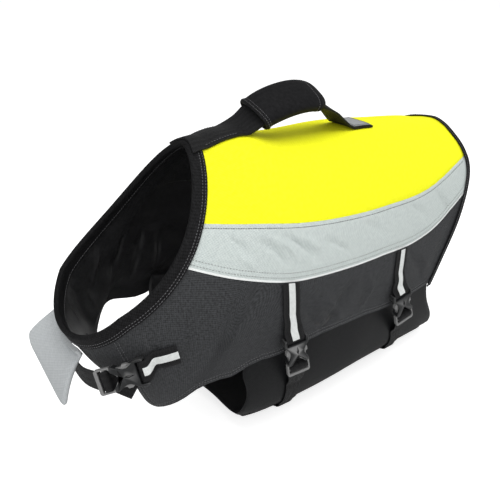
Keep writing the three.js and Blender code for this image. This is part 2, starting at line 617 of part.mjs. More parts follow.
// Chin flap: a foam pad that hangs from the throat wrap, turned a little to
// the wearer's right. Corner places are its real ones in the pattern frame.
const FLAP = { thick: 4.5, corner: 0.4, rounding: [0.24, 0.10], hang: 0.14, top: 0.15, from: 50, to: -15 };
const FLAP_FOOT = { right: new THREE.Vector3(-124, 63, -179), left: new THREE.Vector3(-124, -18, -220) };
function roundAt(ring, y) {
  let low = 0.5;
  let high = 1;
  for (let i = 0; i < 30; i += 1) {
    const middle = (low + high) / 2;
    if (Math.abs(cutPoint(ring, middle).y) > Math.abs(y)) low = middle;
    else high = middle;
  }
  return Math.sign(y || 1) * low;
}
const flapGrid = (height) => spread(10, -1, 1).map((side) => {
  const share = (side + 1) / 2;
  const y = FLAP.from + (FLAP.to - FLAP.from) * share;
  const round = roundAt(FLAP.top, y);
  const head = onVest(FLAP.top, round, TAPE_THICK + 0.8 + height);
  const neck = onVest(FLAP.top + 0.07, round, TAPE_THICK + 0.8 + height);
  const foot = FLAP_FOOT.right.clone().lerp(FLAP_FOOT.left, share);
  const out = new THREE.Vector3(-1, 0, 0.1).normalize();
  const past = Math.max(Math.abs(side) - (1 - FLAP.corner), 0) / FLAP.corner;
  const reach = 1 - FLAP.rounding[side < 0 ? 0 : 1] * (1 - Math.sqrt(Math.max(1 - past ** 2, 0)));
  const hanging = spread(6, FLAP.hang, reach).map((v) => neck.clone().lerp(foot, v)
    .addScaledVector(out, height + 3 * Math.sin(Math.PI * v)));
  return [head, neck, ...hanging];
});
addMesh('chin_flap', wallMesh(flapGrid(FLAP.thick), flapGrid(0)), 'foam');

// Handle: 38 mm webbing sewn along the back from the neck edge, free over the
// grip, and sewn down again behind it. y, z and lean give its free middle line.
const HANDLE = { width: 38, thick: 2, sewnTo: 0.98, landAt: [3.83, 4.26], landY: -8 };
const HANDLE_ARCH = [
  // x, y, z, lean in degrees towards the left
  [97, -3, 13, 8], [110, -7, 22, 18], [128, -9, 29, 25], [150, -10, 33, 27],
  [172, -10, 33, 27], [190, -9, 28, 26], [206, -9, 16, 12], [220, -8, 3.5, 6],
];
const HANDLE_COLUMNS = [-0.5, -0.25, 0, 0.25, 0.5];
function backShareAt(ring, y) {
  let low = 0;
  let high = 0.5;
  for (let i = 0; i < 30; i += 1) {
    const middle = (low + high) / 2;
    if (Math.abs(cutPoint(ring, middle).y) < Math.abs(y)) low = middle;
    else high = middle;
  }
  return Math.sign(y) * low;
}
const sewnRow = (ring, height, y, columns = HANDLE_COLUMNS) => columns
  .map((k) => onVest(ring, backShareAt(ring, y + k * HANDLE.width), height));
function archFrames() {
  const at = HANDLE_ARCH.map(([x, y, z]) => new THREE.Vector3(x, y, z));
  return HANDLE_ARCH.map(([, , , lean], i) => {
    const along = at[Math.min(i + 1, at.length - 1)].clone().sub(at[Math.max(i - 1, 0)]).normalize();
    const angle = THREE.MathUtils.degToRad(lean);
    const across = new THREE.Vector3(0, Math.cos(angle), Math.sin(angle));
    across.addScaledVector(along, -across.dot(along)).normalize();
    return { at: at[i], across, out: along.clone().cross(across).normalize() };
  });
}
const arch = archFrames();
const archRow = ({ at, across, out }, height) => HANDLE_COLUMNS.map((k) => at.clone()
  .addScaledVector(across, k * HANDLE.width).addScaledVector(out, height));
const OVER_TAPE = TAPE_THICK + 0.9;
const neckTapeEnd = NECK_TAPE / mmBack(0.1, 0);
const OVER_PANEL = LAID_ON + 0.2;
const sewnFront = [[0.03, OVER_TAPE], [neckTapeEnd, OVER_TAPE], [neckTapeEnd + 0.12, OVER_PANEL],
  [0.45, OVER_PANEL], [0.58, OVER_PANEL], [0.71, OVER_PANEL], [0.84, OVER_PANEL], [HANDLE.sewnTo, OVER_PANEL + 0.6]];
const sewnRear = [[HANDLE.landAt[0], OVER_PANEL + 0.8], [3.90, OVER_PANEL], [4.08, OVER_PANEL],
  [HANDLE.landAt[1], OVER_PANEL]];
const handleGrid = (lift) => [
  ...sewnFront.map(([ring, height]) => sewnRow(ring, height + lift, 0)),
  ...arch.map((frame) => archRow(frame, lift)),
  ...sewnRear.map(([ring, height]) => sewnRow(ring, height + lift, HANDLE.landY)),
];
addMesh('handle_webbing', wallMesh(handleGrid(HANDLE.thick), handleGrid(0)), 'black');
const patchGrid = (height) => spread(3, 3.87, 4.24)
  .map((ring) => sewnRow(ring, height, HANDLE.landY, [-0.46, -0.23, 0, 0.23, 0.46]));
addMesh('handle_patch', wallMesh(patchGrid(OVER_PANEL + HANDLE.thick + 0.5 + REFLECTIVE_THICK),
  patchGrid(OVER_PANEL + HANDLE.thick + 0.5)), 'reflective');

// The grip is a foam sleeve round the arch of the webbing, open at its ends.
const GRIP = { width: 45, height: 18, wallWide: 2.8, wallHigh: 4.2, from: 1, to: 5, points: 18 };
function gripGrid(width, height) {
  return arch.slice(GRIP.from, GRIP.to + 1).map(({ at, across, out }) => spread(GRIP.points - 1)
    .map((_, j) => {
      const angle = 2 * Math.PI * j / GRIP.points;
      const x = Math.sign(Math.cos(angle)) * Math.abs(Math.cos(angle)) ** 0.7 * width / 2;
      const z = Math.sign(Math.sin(angle)) * Math.abs(Math.sin(angle)) ** 0.8 * height / 2;
      return at.clone().addScaledVector(across, x).addScaledVector(out, z + HANDLE.thick / 2);
    }));
}
addMesh('handle_grip', wallMesh(gripGrid(GRIP.width, GRIP.height),
  gripGrid(GRIP.width - 2 * GRIP.wallWide, GRIP.height - 2 * GRIP.wallHigh), false, true), 'black');

export default jacket;
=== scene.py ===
"""A dog life jacket, filled out as it is worn, seen from its left and a little above."""

import math

import bmesh
import bpy
import numpy as np
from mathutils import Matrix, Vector
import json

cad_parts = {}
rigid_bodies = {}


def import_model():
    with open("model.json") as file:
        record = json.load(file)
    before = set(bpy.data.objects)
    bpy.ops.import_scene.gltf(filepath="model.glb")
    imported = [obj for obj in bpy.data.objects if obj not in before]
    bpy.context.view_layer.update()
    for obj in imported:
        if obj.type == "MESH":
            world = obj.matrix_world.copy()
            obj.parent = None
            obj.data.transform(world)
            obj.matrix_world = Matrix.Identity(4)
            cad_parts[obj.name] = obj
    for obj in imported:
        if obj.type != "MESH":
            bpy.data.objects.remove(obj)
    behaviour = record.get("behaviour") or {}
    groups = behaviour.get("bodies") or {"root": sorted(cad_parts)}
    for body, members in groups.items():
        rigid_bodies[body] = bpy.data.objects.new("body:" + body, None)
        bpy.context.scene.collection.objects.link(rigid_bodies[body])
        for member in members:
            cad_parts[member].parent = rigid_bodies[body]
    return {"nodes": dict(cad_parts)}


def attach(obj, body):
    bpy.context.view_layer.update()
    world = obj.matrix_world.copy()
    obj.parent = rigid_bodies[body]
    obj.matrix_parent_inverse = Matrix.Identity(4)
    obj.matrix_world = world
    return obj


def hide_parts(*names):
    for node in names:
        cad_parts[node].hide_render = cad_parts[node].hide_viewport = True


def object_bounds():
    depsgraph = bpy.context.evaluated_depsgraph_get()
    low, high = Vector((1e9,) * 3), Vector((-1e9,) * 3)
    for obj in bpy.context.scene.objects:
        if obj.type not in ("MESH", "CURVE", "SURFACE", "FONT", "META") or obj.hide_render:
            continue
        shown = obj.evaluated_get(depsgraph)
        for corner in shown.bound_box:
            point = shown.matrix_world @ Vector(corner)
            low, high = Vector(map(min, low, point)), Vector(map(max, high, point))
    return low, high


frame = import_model()
nodes = frame["nodes"]
cad_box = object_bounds()

# The setting. A pale floor just under the belly, three large soft lights and
# a camera to the jacket's left, above it and a little in front of it.
looks_at = Vector((-0.105, 0, -0.111))
turned, raised = math.radians(-38), math.radians(26)
towards_camera = Vector(
    (math.sin(turned) * math.cos(raised), -math.cos(turned) * math.cos(raised), math.sin(raised))
)
camera_data = bpy.data.cameras.new("camera")
camera_data.sensor_width = 36
camera_data.lens = 46.8
camera = bpy.data.objects.new("camera", camera_data)
camera.location = looks_at + towards_camera * 0.72
camera.rotation_euler = (-towards_camera).to_track_quat("-Z", "Y").to_euler()
bpy.context.scene.collection.objects.link(camera)
bpy.context.scene.camera = camera
bpy.context.scene.view_settings.view_transform = "Standard"


def add_node(tree, kind, inputs=None, **settings):
    """A new node, with inputs that are set to values or joined to other nodes' outputs."""
    node = tree.nodes.new(kind)
    for name, value in settings.items():
        setattr(node, name, value)
    for name, value in (inputs or {}).items():
        if isinstance(value, bpy.types.NodeSocket):
            tree.links.new(value, node.inputs[name])
        else:
            node.inputs[name].default_value = value
    return node


def empty_material(name):
    """A new material, its tree and its one shader, which the caller fills in."""
    material = bpy.data.materials.new(name)
    material.use_nodes = True
    tree = material.node_tree
    tree.nodes.clear()
    shader = add_node(tree, "ShaderNodeBsdfPrincipled")
    add_node(tree, "ShaderNodeOutputMaterial", {"Surface": shader.outputs["BSDF"]})
    return material, tree, shader


def area_light(name, place, size, power):
    light = bpy.data.lights.new(name, "AREA")
    light.size = size
    light.energy = power
    lamp = bpy.data.objects.new(name, light)
    lamp.location = place
    lamp.rotation_euler = (looks_at - Vector(place)).to_track_quat("-Z", "Y").to_euler()
    bpy.context.scene.collection.objects.link(lamp)


area_light("light_over_the_back", (-0.2, -0.3, 1.7), 1.6, 21)
area_light("light_from_the_front_left", (-1.5, -1.3, 0.9), 1.4, 17)
area_light("light_from_the_rear_left", (1.6, -1.2, 0.7), 1.4, 10)



def seen_by_camera(tree):
    """1 where the camera looks straight at it, and 0 for light that bounces."""
    return add_node(tree, "ShaderNodeLightPath").outputs["Is Camera Ray"]


# The room lights the jacket softly, but the camera sees it as plain white.
world = bpy.data.worlds.new("pale_room")
world.use_nodes = True
background = world.node_tree.nodes["Background"]
background.inputs["Color"].default_value = (1, 1, 1, 1)
strength = add_node(
    world.node_tree, "ShaderNodeMapRange", {"Value": seen_by_camera(world.node_tree), "To Min": 0.42, "To Max": 1.0}
)
world.node_tree.links.new(strength.outputs["Result"], background.inputs["Strength"])
bpy.context.scene.world = world

floor_material, floor_tree, floor_shader = empty_material("floor_paint")
floor_place = add_node(floor_tree, "ShaderNodeTexCoord").outputs["Object"]
floor_grain = add_node(floor_tree, "ShaderNodeTexNoise", {"Vector": floor_place, "Scale": 3})
floor_colour = add_node(
    floor_tree,
    "ShaderNodeMix",
    {"Factor": floor_grain.outputs["Fac"], "A": (0.80, 0.80, 0.80, 1), "B": (0.83, 0.83, 0.83, 1)},
    data_type="RGBA",
)
floor_glow = add_node(
    floor_tree, "ShaderNodeMath", {0: seen_by_camera(floor_tree), 1: 0.66}, operation="MULTIPLY"
)
floor_tree.links.new(floor_colour.outputs["Result"], floor_shader.inputs["Base Color"])
floor_tree.links.new(floor_glow.outputs[0], floor_shader.inputs["Emission Strength"])
floor_shader.inputs["Emission Color"].default_value = (1, 1, 1, 1)
floor_shader.inputs["Roughness"].default_value = 0.9

floor_mesh = bpy.data.meshes.new("floor")
floor_z = cad_box[0].z - 0.002
floor_corners = [(x, y, floor_z) for x, y in ((-40, -40), (40, -40), (40, 40), (-40, 40))]
floor_mesh.from_pydata(floor_corners, [], [(0, 1, 2, 3)])
floor_mesh.materials.append(floor_material)
floor = bpy.data.objects.new("floor", floor_mesh)
bpy.context.scene.collection.objects.link(floor)


# The back panel. Fluorescent yellow nylon is sewn over a sheet of closed-cell
# foam with a black lining. The maker's pattern is a row of rings from the neck
# edge to the tail edge, and each ring runs from the back round to the belly.
MM = 0.001
HELD_AT = np.array([215.0, 0.0, -19.0])
RINGS = np.array(
    [
        # ring, back x and z, belly x and z, half width, sink of the widest
        # place, roundness above and below, bow, yellow and grey seam
        [0, 30, 8, -110, -149, 71, 0.75, 0.95, 1.0, 14, 0.295, 0.425],
        [1, 85, 8, -62, -236, 96, 0.85, 0.80, 0.68, 8, 0.290, 0.416],
        [2, 130, -4.5, 0, -286, 105, 0.92, 0.70, 0.60, 3, 0.284, 0.412],
        [3, 180, -10, 62, -310, 107, 1.0, 0.66, 0.52, 0, 0.299, 0.421],
        [4, 245, -11.5, 155, -316, 104, 1.0, 0.64, 0.48, 0, 0.306, 0.426],
        [5, 325, -20, 260, -317, 96, 1.0, 0.68, 0.48, 0, 0.292, 0.416],
        [6, 415, -29, 375, -322, 86, 1.0, 0.78, 0.50, 0, 0.214, 0.318],
    ]
)
SIDE_HEM = np.array(
    [
        # ring, share of the way round on the left and on the right
        [0, 0.738, 0.738],
        [0.5, 0.800, 0.800],
        [0.72, 0.829, 0.827],
        [0.86, 0.846, 0.830],
        [0.91, 0.852, 0.796],
        [0.95, 0.855, 0.724],
        [1.0, 0.857, 0.682],
        [1.06, 0.854, 0.667],
        [1.10, 0.842, 0.661],
        [1.17, 0.775, 0.655],
        [1.24, 0.706, 0.651],
        [1.33, 0.674, 0.647],
        [1.45, 0.652, 0.642],
        [1.6, 0.639, 0.636],
        [1.8, 0.606, 0.622],
        [2.0, 0.589, 0.601],
        [2.5, 0.576, 0.580],
        [3, 0.566, 0.567],
        [3.5, 0.562, 0.562],
        [4, 0.567, 0.567],
        [4.5, 0.578, 0.578],
        [5, 0.577, 0.577],
        [5.5, 0.562, 0.562],
        [6, 0.545, 0.545],
    ]
)
TAIL_EDGE = np.array(
    [
        # share of the way round, ring
        [0, 5.97],
        [0.05, 5.88],
        [0.12, 5.84],
        [0.2, 5.91],
        [0.25, 5.94],
        [0.3, 5.90],
        [0.4, 5.70],
        [0.5, 5.46],
        [0.6, 5.30],
    ]
)
SEAM_GAP = 0.05
FOAM = 8.0
EDGE_THICK = 3.0
CROWN = 2.2
FLAT_EDGE = 14.0
FULL_FOAM = 38.0
LEFT, RIGHT = -1, 1


def read_table(rows, at):
    """A smooth curve through the rows of a table, read at its first column."""
    x, y = rows[:, 0], rows[:, 1:]
    last = len(x) - 1
    before = np.maximum(np.arange(last + 1) - 1, 0)
    after = np.minimum(np.arange(last + 1) + 1, last)
    slopes = (y[after] - y[before]) / (x[after] - x[before])[:, None]
    at = np.asarray(at, float)
    k = np.clip(np.searchsorted(x, at, side="left") - 1, 0, last - 1)
    width = (x[k + 1] - x[k])[..., None]
    u = (at - x[k])[..., None] / width
    return (
        (2 * u**3 - 3 * u**2 + 1) * y[k]
        + (u**3 - 2 * u**2 + u) * width * slopes[k]
        + (3 * u**2 - 2 * u**3) * y[k + 1]
        + (u**3 - u**2) * width * slopes[k + 1]
    )


def smooth(low, high, value):
    t = np.clip((value - low) / (high - low), 0, 1)
    return t * t * (3 - 2 * t)


def side_hem(ring, side=LEFT):
    on_left = np.interp(ring, SIDE_HEM[:, 0], SIDE_HEM[:, 1])
    on_right = np.interp(ring, SIDE_HEM[:, 0], SIDE_HEM[:, 2])
    return np.where(np.asarray(side) < 0, on_left, on_right)


def tail_edge(share):
    return read_table(TAIL_EDGE, np.abs(share))[..., 0]


def yellow_seam(ring):
    return read_table(RINGS, ring)[..., 9]


def grey_seam(ring):
    return read_table(RINGS, ring)[..., 10]


def cut_point(ring, way):
    """A point of the cut surface, in millimetres. way is the signed share of the way
    round from the back to the belly, negative on the wearer's left."""
    ring, way = np.broadcast_arrays(np.asarray(ring, float), np.asarray(way, float))
    shape = np.moveaxis(read_table(RINGS, ring), -1, 0)
    back_x, back_z, belly_x, belly_z, half_width, low, round_top, round_bottom, bow = shape[:9]
    share = np.minimum(np.abs(way), 1)
    down = ((1 - np.cos(np.pi * share)) / 2) ** low
    power = np.where(share < 0.5, round_top, round_bottom)
    wide = half_width * np.maximum(np.sin(np.pi * share), 0) ** power
    dx, dz = belly_x - back_x, belly_z - back_z
    length = np.hypot(dx, dz)
    bent = bow * np.sin(np.pi * np.minimum(down / 0.8, 1))
    x = back_x + dx * down - bent * dz / length
    z = back_z + dz * down + bent * dx / length
    return np.stack([x, np.sign(way) * wide, z], -1)


def unit(vectors):
    return vectors / np.maximum(np.linalg.norm(vectors, axis=-1, keepdims=True), 1e-9)


STEP = 0.004


def along_ring(ring, way):
    way = np.asarray(way, float)
    start = np.where(np.abs(way) + STEP > 1, way - np.sign(way) * STEP, way)
    return (cut_point(ring, start + STEP) - cut_point(ring, start - STEP)) / (2 * STEP)


def along_back(ring, way):
    ring = np.asarray(ring, float)
    return (cut_point(ring + STEP, way) - cut_point(ring - STEP, way)) / (2 * STEP)


def outward(ring, way):
    share = np.broadcast_arrays(np.abs(way), ring)[0]
    across = unit(np.cross(along_back(ring, way), along_ring(ring, way)))
    on_middle = unit(np.cross(along_back(ring, way), [0, 1, 0]))
    on_middle = np.where((share < 0.5)[..., None], on_middle, -on_middle)
    near_middle = (share < 2 * STEP) | (share > 1 - 2 * STEP)
    return np.where(near_middle[..., None], on_middle, across)


def mm_round(ring, way):
    return np.linalg.norm(along_ring(ring, way), axis=-1)


def mm_back(ring, way):
    return np.linalg.norm(along_back(ring, way), axis=-1)


def to_edge(ring, way):
    """Millimetres to the nearest open edge of the vest."""
    share = np.abs(way)
    along = mm_back(ring, way)
    to_hem = np.maximum(side_hem(ring, np.sign(way)) - share, 0) * mm_round(ring, way)
    return np.minimum(np.minimum(ring * along, (tail_edge(share) - ring) * along), to_hem)


def foam_thickness(ring, way):
    return EDGE_THICK + (FOAM - EDGE_THICK) * smooth(FLAT_EDGE, FULL_FOAM, to_edge(ring, way))


def crown(ring, way):
    """How far a padded panel swells between its seams. The bands stay flat."""
    share = np.abs(way)
    yellow, grey = yellow_seam(ring), grey_seam(ring)
    hem = side_hem(ring, np.sign(way))
    swell = CROWN * smooth(FLAT_EDGE, FULL_FOAM, to_edge(ring, way))
    on_side = np.sin(np.pi * np.clip((share - grey) / (hem - grey), 0, 1))
    on_back = 1 - np.clip(share / yellow, 0, 1) ** 4
    return swell * np.where(share <= yellow, on_back, on_side)


def on_vest(ring, way, height=0.0):
    """A point that lies height millimetres outside the finished vest."""
    height = np.asarray(height, float) + crown(ring, way)
    return cut_point(ring, way) + outward(ring, way) * height[..., None]


def uneven(x, y, size, seed):
    """A soft, irregular wave between about -1 and 1, with bumps of that size."""
    chance = np.random.default_rng(seed)
    total = np.zeros(np.broadcast(x, y).shape)
    for _ in range(6):
        angle, phase = chance.uniform(0, 2 * np.pi, 2)
        length = size * chance.uniform(0.7, 1.6)
        run = (x * np.cos(angle) + y * np.sin(angle)) / length
        total = total + np.sin(2 * np.pi * run + phase)
    return total / 3.2


def fold(points, line, width, height):
    """A soft ridge, or a trough for a negative height, along a line of (ring, way) stops."""
    path = cut_point(np.array(line)[:, 0], np.array(line)[:, 1])
    nearest = np.full(points.shape[:-1], 1e9)
    place = np.zeros(points.shape[:-1])
    for k in range(len(path) - 1):
        step = path[k + 1] - path[k]
        t = np.clip(((points - path[k]) @ step) / (step @ step), 0, 1)
        distance = np.linalg.norm(points - path[k] - t[..., None] * step, axis=-1)
        closer = distance < nearest
        nearest = np.where(closer, distance, nearest)
        place = np.where(closer, (k + t) / (len(path) - 1), place)
    taper = np.sin(np.pi * np.clip(place, 0.02, 0.98)) ** 0.7
    wide = width * (0.75 + 0.25 * np.sin(7 * place + line[0][0] * 5))
    return height * taper * np.exp(-((nearest / wide) ** 2))


def make_mesh(name, points, faces, materials, face_material=None, uv=None, seam=None):
    """A smooth-shaded object on the frame's one body, from points in pattern millimetres."""
    mesh = bpy.data.meshes.new(name)
    mesh.from_pydata(((points - HELD_AT) * MM).tolist(), [], faces.tolist())
    for material in materials:
        mesh.materials.append(material)
    if face_material is not None:
        mesh.polygons.foreach_set("material_index", face_material.astype(np.int32))
    if uv is not None:
        corner = np.zeros(len(mesh.loops), np.int32)
        mesh.loops.foreach_get("vertex_index", corner)
        layer = mesh.uv_layers.new(name="Cloth")
        layer.data.foreach_set("uv", (uv[corner] * MM).astype(np.float32).ravel())
    if seam is not None:
        layer = mesh.attributes.new("Seam", "FLOAT", "POINT")
        layer.data.foreach_set("value", seam.astype(np.float32))
    mesh.shade_smooth()
    mesh.set_sharp_from_angle(angle=math.radians(55))
    piece = bpy.data.objects.new(name, mesh)
    bpy.context.scene.collection.objects.link(piece)
    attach(piece, "root")
    return piece


def shell(name, front, back, face, lining, rows_join=False, columns_join=False, seam=None):
    """A closed wall between two grids of points, which may join up with itself."""
    rows, columns = front.shape[:2]
    row_cells = rows if rows_join else rows - 1
    column_cells = columns if columns_join else columns - 1
    i, j = np.meshgrid(np.arange(row_cells), np.arange(column_cells), indexing="ij")

    def at(side, row, column):
        return side * rows * columns + (row % rows) * columns + column % columns

    def quads(*corners):
        return np.stack(corners, -1).reshape(-1, 4)

    sheets = [
        quads(at(0, i, j), at(0, i + 1, j), at(0, i + 1, j + 1), at(0, i, j + 1)),
        quads(at(1, i, j), at(1, i, j + 1), at(1, i + 1, j + 1), at(1, i + 1, j)),
    ]
    k = np.arange(column_cells)
    if not rows_join:
        sheets.append(quads(at(0, 0, k), at(0, 0, k + 1), at(1, 0, k + 1), at(1, 0, k)))
        end = rows - 1
        sheets.append(quads(at(0, end, k), at(1, end, k), at(1, end, k + 1), at(0, end, k + 1)))
    k = np.arange(row_cells)
    if not columns_join:
        end = columns - 1
        sheets.append(quads(at(0, k, 0), at(1, k, 0), at(1, k + 1, 0), at(0, k + 1, 0)))
        sheets.append(quads(at(0, k, end), at(0, k + 1, end), at(1, k + 1, end), at(1, k, end)))
    faces = np.concatenate(sheets)
    points = np.concatenate([front.reshape(-1, 3), back.reshape(-1, 3)])
    a, b, c = (points[faces[:, n]] for n in range(3))
    if (a * np.cross(b, c)).sum() < 0:
        faces = faces[:, ::-1]
    which = np.concatenate([np.full(len(sheet), n == 1) for n, sheet in enumerate(sheets)])

    def walked(grid, axis):
        steps = np.linalg.norm(np.diff(grid, axis=axis), axis=-1)
        start = np.zeros(grid.shape[:2])
        if axis == 0:
            start[1:] = np.cumsum(steps, 0)
        else:
            start[:, 1:] = np.cumsum(steps, 1)
        return start

    across = walked(front, 1)
    across = across - across[:, columns // 2][:, None]
    uv = np.stack([walked(front, 0), across], -1).reshape(-1, 2)
    uv = np.concatenate([uv, uv])
    if seam is not None:
        seam = np.concatenate([seam.ravel(), np.full(seam.size, 1.0)])
    return make_mesh(name, points, faces, [face, lining], which, uv, seam)


def panel_grid(from_seam, to_seam, rows, columns, crowd=1.0):
    """Ring and way of a panel's points. crowd over 1 packs them towards the back's middle."""
    u = np.linspace(0, 1, rows)[:, None]
    v = np.linspace(-1, 1, columns)[None, :]
    v = (np.sign(v) * np.abs(v) ** crowd + 1) / 2
    ring = u * np.full_like(v, 5.9)
    for _ in range(6):
        way = from_seam(ring) + (to_seam(ring) - from_seam(ring)) * v
        ring = u * tail_edge(np.minimum(np.abs(way), 0.6))
    return ring, way


def half_gap(ring, way):
    return SEAM_GAP / 2 / mm_round(ring, way)


def seam_draw(ring, way, seams, seed):
    """The cloth dips into its seams and puckers beside them. Returns height and distance."""
    reach = mm_round(ring, way)
    distance = np.min([np.abs(np.abs(way) - seam(ring)) * reach for seam in seams], axis=0)
    along = ring * 70
    pucker = 0.34 * uneven(along, distance * 0.35, 9, seed) * np.exp(-((distance / 9) ** 2))
    return -0.9 * np.exp(-((distance / 2.2) ** 2)) + np.minimum(pucker, 0.2), distance


def padded_panel(name, ring, way, relief, seam, face, lining_relief):
    front = on_vest(ring, way, relief)
    middle = cut_point(ring, way)
    from_seams = np.minimum(*(np.linalg.norm(middle - middle[:, [k]], axis=-1) for k in (0, -1)))
    back_height = -foam_thickness(ring, way) + lining_relief * smooth(0, 14, from_seams)
    back = middle + outward(ring, way) * back_height[..., None]
    return shell(name, front, back, face, lining_material, seam=seam * MM)


def weave_group():
    """Over-and-under threads: a height from 0 to 1, and a patchy shade from wear and light."""
    tree = bpy.data.node_groups.new("Woven threads", "ShaderNodeTree")
    face = tree.interface
    face.new_socket("Vector", in_out="INPUT", socket_type="NodeSocketVector")
    face.new_socket("Pitch", in_out="INPUT", socket_type="NodeSocketFloat")
    face.new_socket("Patch Size", in_out="INPUT", socket_type="NodeSocketFloat")
    face.new_socket("Height", in_out="OUTPUT", socket_type="NodeSocketFloat")
    face.new_socket("Shade", in_out="OUTPUT", socket_type="NodeSocketFloat")
    given = add_node(tree, "NodeGroupInput").outputs
    turns = add_node(tree, "ShaderNodeMath", {0: math.pi, 1: given["Pitch"]}, operation="DIVIDE")
    scaled = add_node(
        tree, "ShaderNodeVectorMath", {0: given["Vector"], "Scale": turns.outputs[0]}, operation="SCALE"
    )
    parts = add_node(tree, "ShaderNodeSeparateXYZ", {"Vector": scaled.outputs[0]})
    warp = add_node(tree, "ShaderNodeMath", {0: parts.outputs["X"]}, operation="SINE")
    weft = add_node(tree, "ShaderNodeMath", {0: parts.outputs["Y"]}, operation="SINE")
    crossed = add_node(
        tree, "ShaderNodeMath", {0: warp.outputs[0], 1: weft.outputs[0]}, operation="MULTIPLY"
    )
    height = add_node(
        tree, "ShaderNodeMath", {0: crossed.outputs[0], 1: 0.5, 2: 0.5}, operation="MULTIPLY_ADD"
    )
    often = add_node(tree, "ShaderNodeMath", {0: 1.0, 1: given["Patch Size"]}, operation="DIVIDE")
    patches = add_node(
        tree,
        "ShaderNodeTexNoise",
        {"Vector": given["Vector"], "Scale": often.outputs[0], "Detail": 5.0, "Roughness": 0.62},
    )
    add_node(
        tree, "NodeGroupOutput", {"Height": height.outputs[0], "Shade": patches.outputs["Fac"]}
    )
    return tree


WEAVE = weave_group()


def cloth_material(name, dark, light, pitch, relief, roughness, shine, patch=0.004, edge=None):
    """Woven cloth. edge is (colour, width in metres) of a painted highlight: a paler line along a seam, where light
    catches it.
    """
    material, tree, shader = empty_material(name)
    place = add_node(tree, "ShaderNodeUVMap", uv_map="Cloth").outputs["UV"]
    weave = add_node(tree, "ShaderNodeGroup", node_tree=WEAVE)
    tree.links.new(place, weave.inputs["Vector"])
    weave.inputs["Pitch"].default_value = pitch
    weave.inputs["Patch Size"].default_value = patch
    mottle = add_node(
        tree,
        "ShaderNodeMath",
        {0: weave.outputs["Height"], 1: 0.35, 2: weave.outputs["Shade"]},
        operation="MULTIPLY_ADD",
    )
    spread = add_node(
        tree,
        "ShaderNodeMapRange",
        {"Value": mottle.outputs[0], "From Min": 0.4, "From Max": 0.95},
    )
    colour = add_node(
        tree,
        "ShaderNodeMix",
        {"Factor": spread.outputs["Result"], "A": (*dark, 1), "B": (*light, 1)},
        data_type="RGBA",
    ).outputs["Result"]
    # A painted highlight: the colour turns pale within the given width of the seam.
    if edge:
        seam = add_node(tree, "ShaderNodeAttribute", attribute_name="Seam").outputs["Fac"]
        painted_highlight_near_seam = add_node(
            tree,
            "ShaderNodeMapRange",
            {"Value": seam, "From Min": edge[1] * 0.8, "From Max": edge[1] * 1.15, "To Min": 1.0, "To Max": 0.0},
        )
        colour = add_node(
            tree,
            "ShaderNodeMix",
            {"Factor": painted_highlight_near_seam.outputs["Result"], "A": colour, "B": (*edge[0], 1)},
            data_type="RGBA",
        ).outputs["Result"]
    bump = add_node(
        tree, "ShaderNodeBump", {"Height": weave.outputs["Height"], "Strength": 0.8, "Distance": relief}
    )
    tree.links.new(colour, shader.inputs["Base Color"])
    tree.links.new(bump.outputs["Normal"], shader.inputs["Normal"])
    shader.inputs["Roughness"].default_value = roughness
    shader.inputs["Specular IOR Level"].default_value = shine
    return material


lining_material = cloth_material(
    "black_lining", (0.004, 0.004, 0.0045), (0.018, 0.018, 0.019), 0.001, 0.0001, 0.38, 0.4
)
yellow_material = cloth_material(
    "yellow_nylon", (0.90, 0.90, 0.012), (0.97, 0.97, 0.03), 0.0013, 0.0002, 0.7, 0.05
)

ring, way = panel_grid(
    lambda s: -yellow_seam(s) + half_gap(s, 0.3),
    lambda s: yellow_seam(s) - half_gap(s, 0.3),
    170,
    120,
    crowd=1.45,
)
dip, to_seam = seam_draw(ring, way, [yellow_seam], 3)
middle = cut_point(ring, way)
relief = dip - 0.35 * (1 + uneven(middle[..., 0], middle[..., 1], 90, 5))
relief += fold(middle, [[0.5, -0.25], [0.9, -0.17], [1.3, -0.15]], 9, -0.9)
relief += fold(middle, [[4.9, -0.05], [5.3, -0.12], [5.6, -0.2]], 8, -0.8)
relief += fold(middle, [[4.4, 0.2], [4.9, 0.13], [5.4, 0.12]], 9, -0.8)
lining_relief = 0.9 * uneven(middle[..., 0], middle[..., 1], 55, 8)
back_panel = padded_panel("back_cloth", ring, way, relief, to_seam, yellow_material, lining_relief)
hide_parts("back_panel")

# The side bands. Silver grey reflective cloth joins the yellow back to the dark
# sides. Its upper seam is topstitched close to the edge, and its lower edge is
# turned in as a lip, with a painted highlight as a pale line along it. It lies
# flat, so it shows soft slanting creases.
grey_material = cloth_material(
    "grey_reflective_cloth",
    (0.46, 0.51, 0.50),
    (0.58, 0.63, 0.61),
    0.0016,
    0.0003,
    0.55,
    0.15,
    # painted highlight along the lower seam, 2.2 mm wide
    edge=((0.80, 0.82, 0.81), 0.0022),
)
BAND_CREASES = [
    # line of (ring, share) stops, width, height
    [[[0.60, 0.322], [0.80, 0.340], [1.04, 0.366]], 3.8, -2.4],
    [[[0.72, 0.356], [0.94, 0.374], [1.20, 0.386]], 3.4, 1.7],
    [[[1.10, 0.324], [1.46, 0.342], [1.88, 0.376]], 4.2, -3.2],
    [[[1.36, 0.318], [1.72, 0.336], [2.10, 0.372]], 3.4, 2.2],
    [[[1.60, 0.308], [2.04, 0.332], [2.60, 0.380]], 4.0, -3.2],
    [[[1.95, 0.312], [2.28, 0.332], [2.60, 0.360]], 3.2, 2.0],
    [[[2.60, 0.335], [3.02, 0.362], [3.30, 0.386]], 4.4, -2.4],
    [[[3.50, 0.330], [3.80, 0.352], [4.05, 0.386]], 5.0, -1.7],
    [[[4.5, 0.32], [4.8, 0.35], [5.0, 0.39]], 4.8, -1.9],
    [[[5.1, 0.30], [5.3, 0.34], [5.45, 0.37]], 4.4, -2.2],
]


def band_upper(s):
    return yellow_seam(s) + half_gap(s, 0.3)


def band_lower(s):
    return grey_seam(s) - half_gap(s, 0.4)


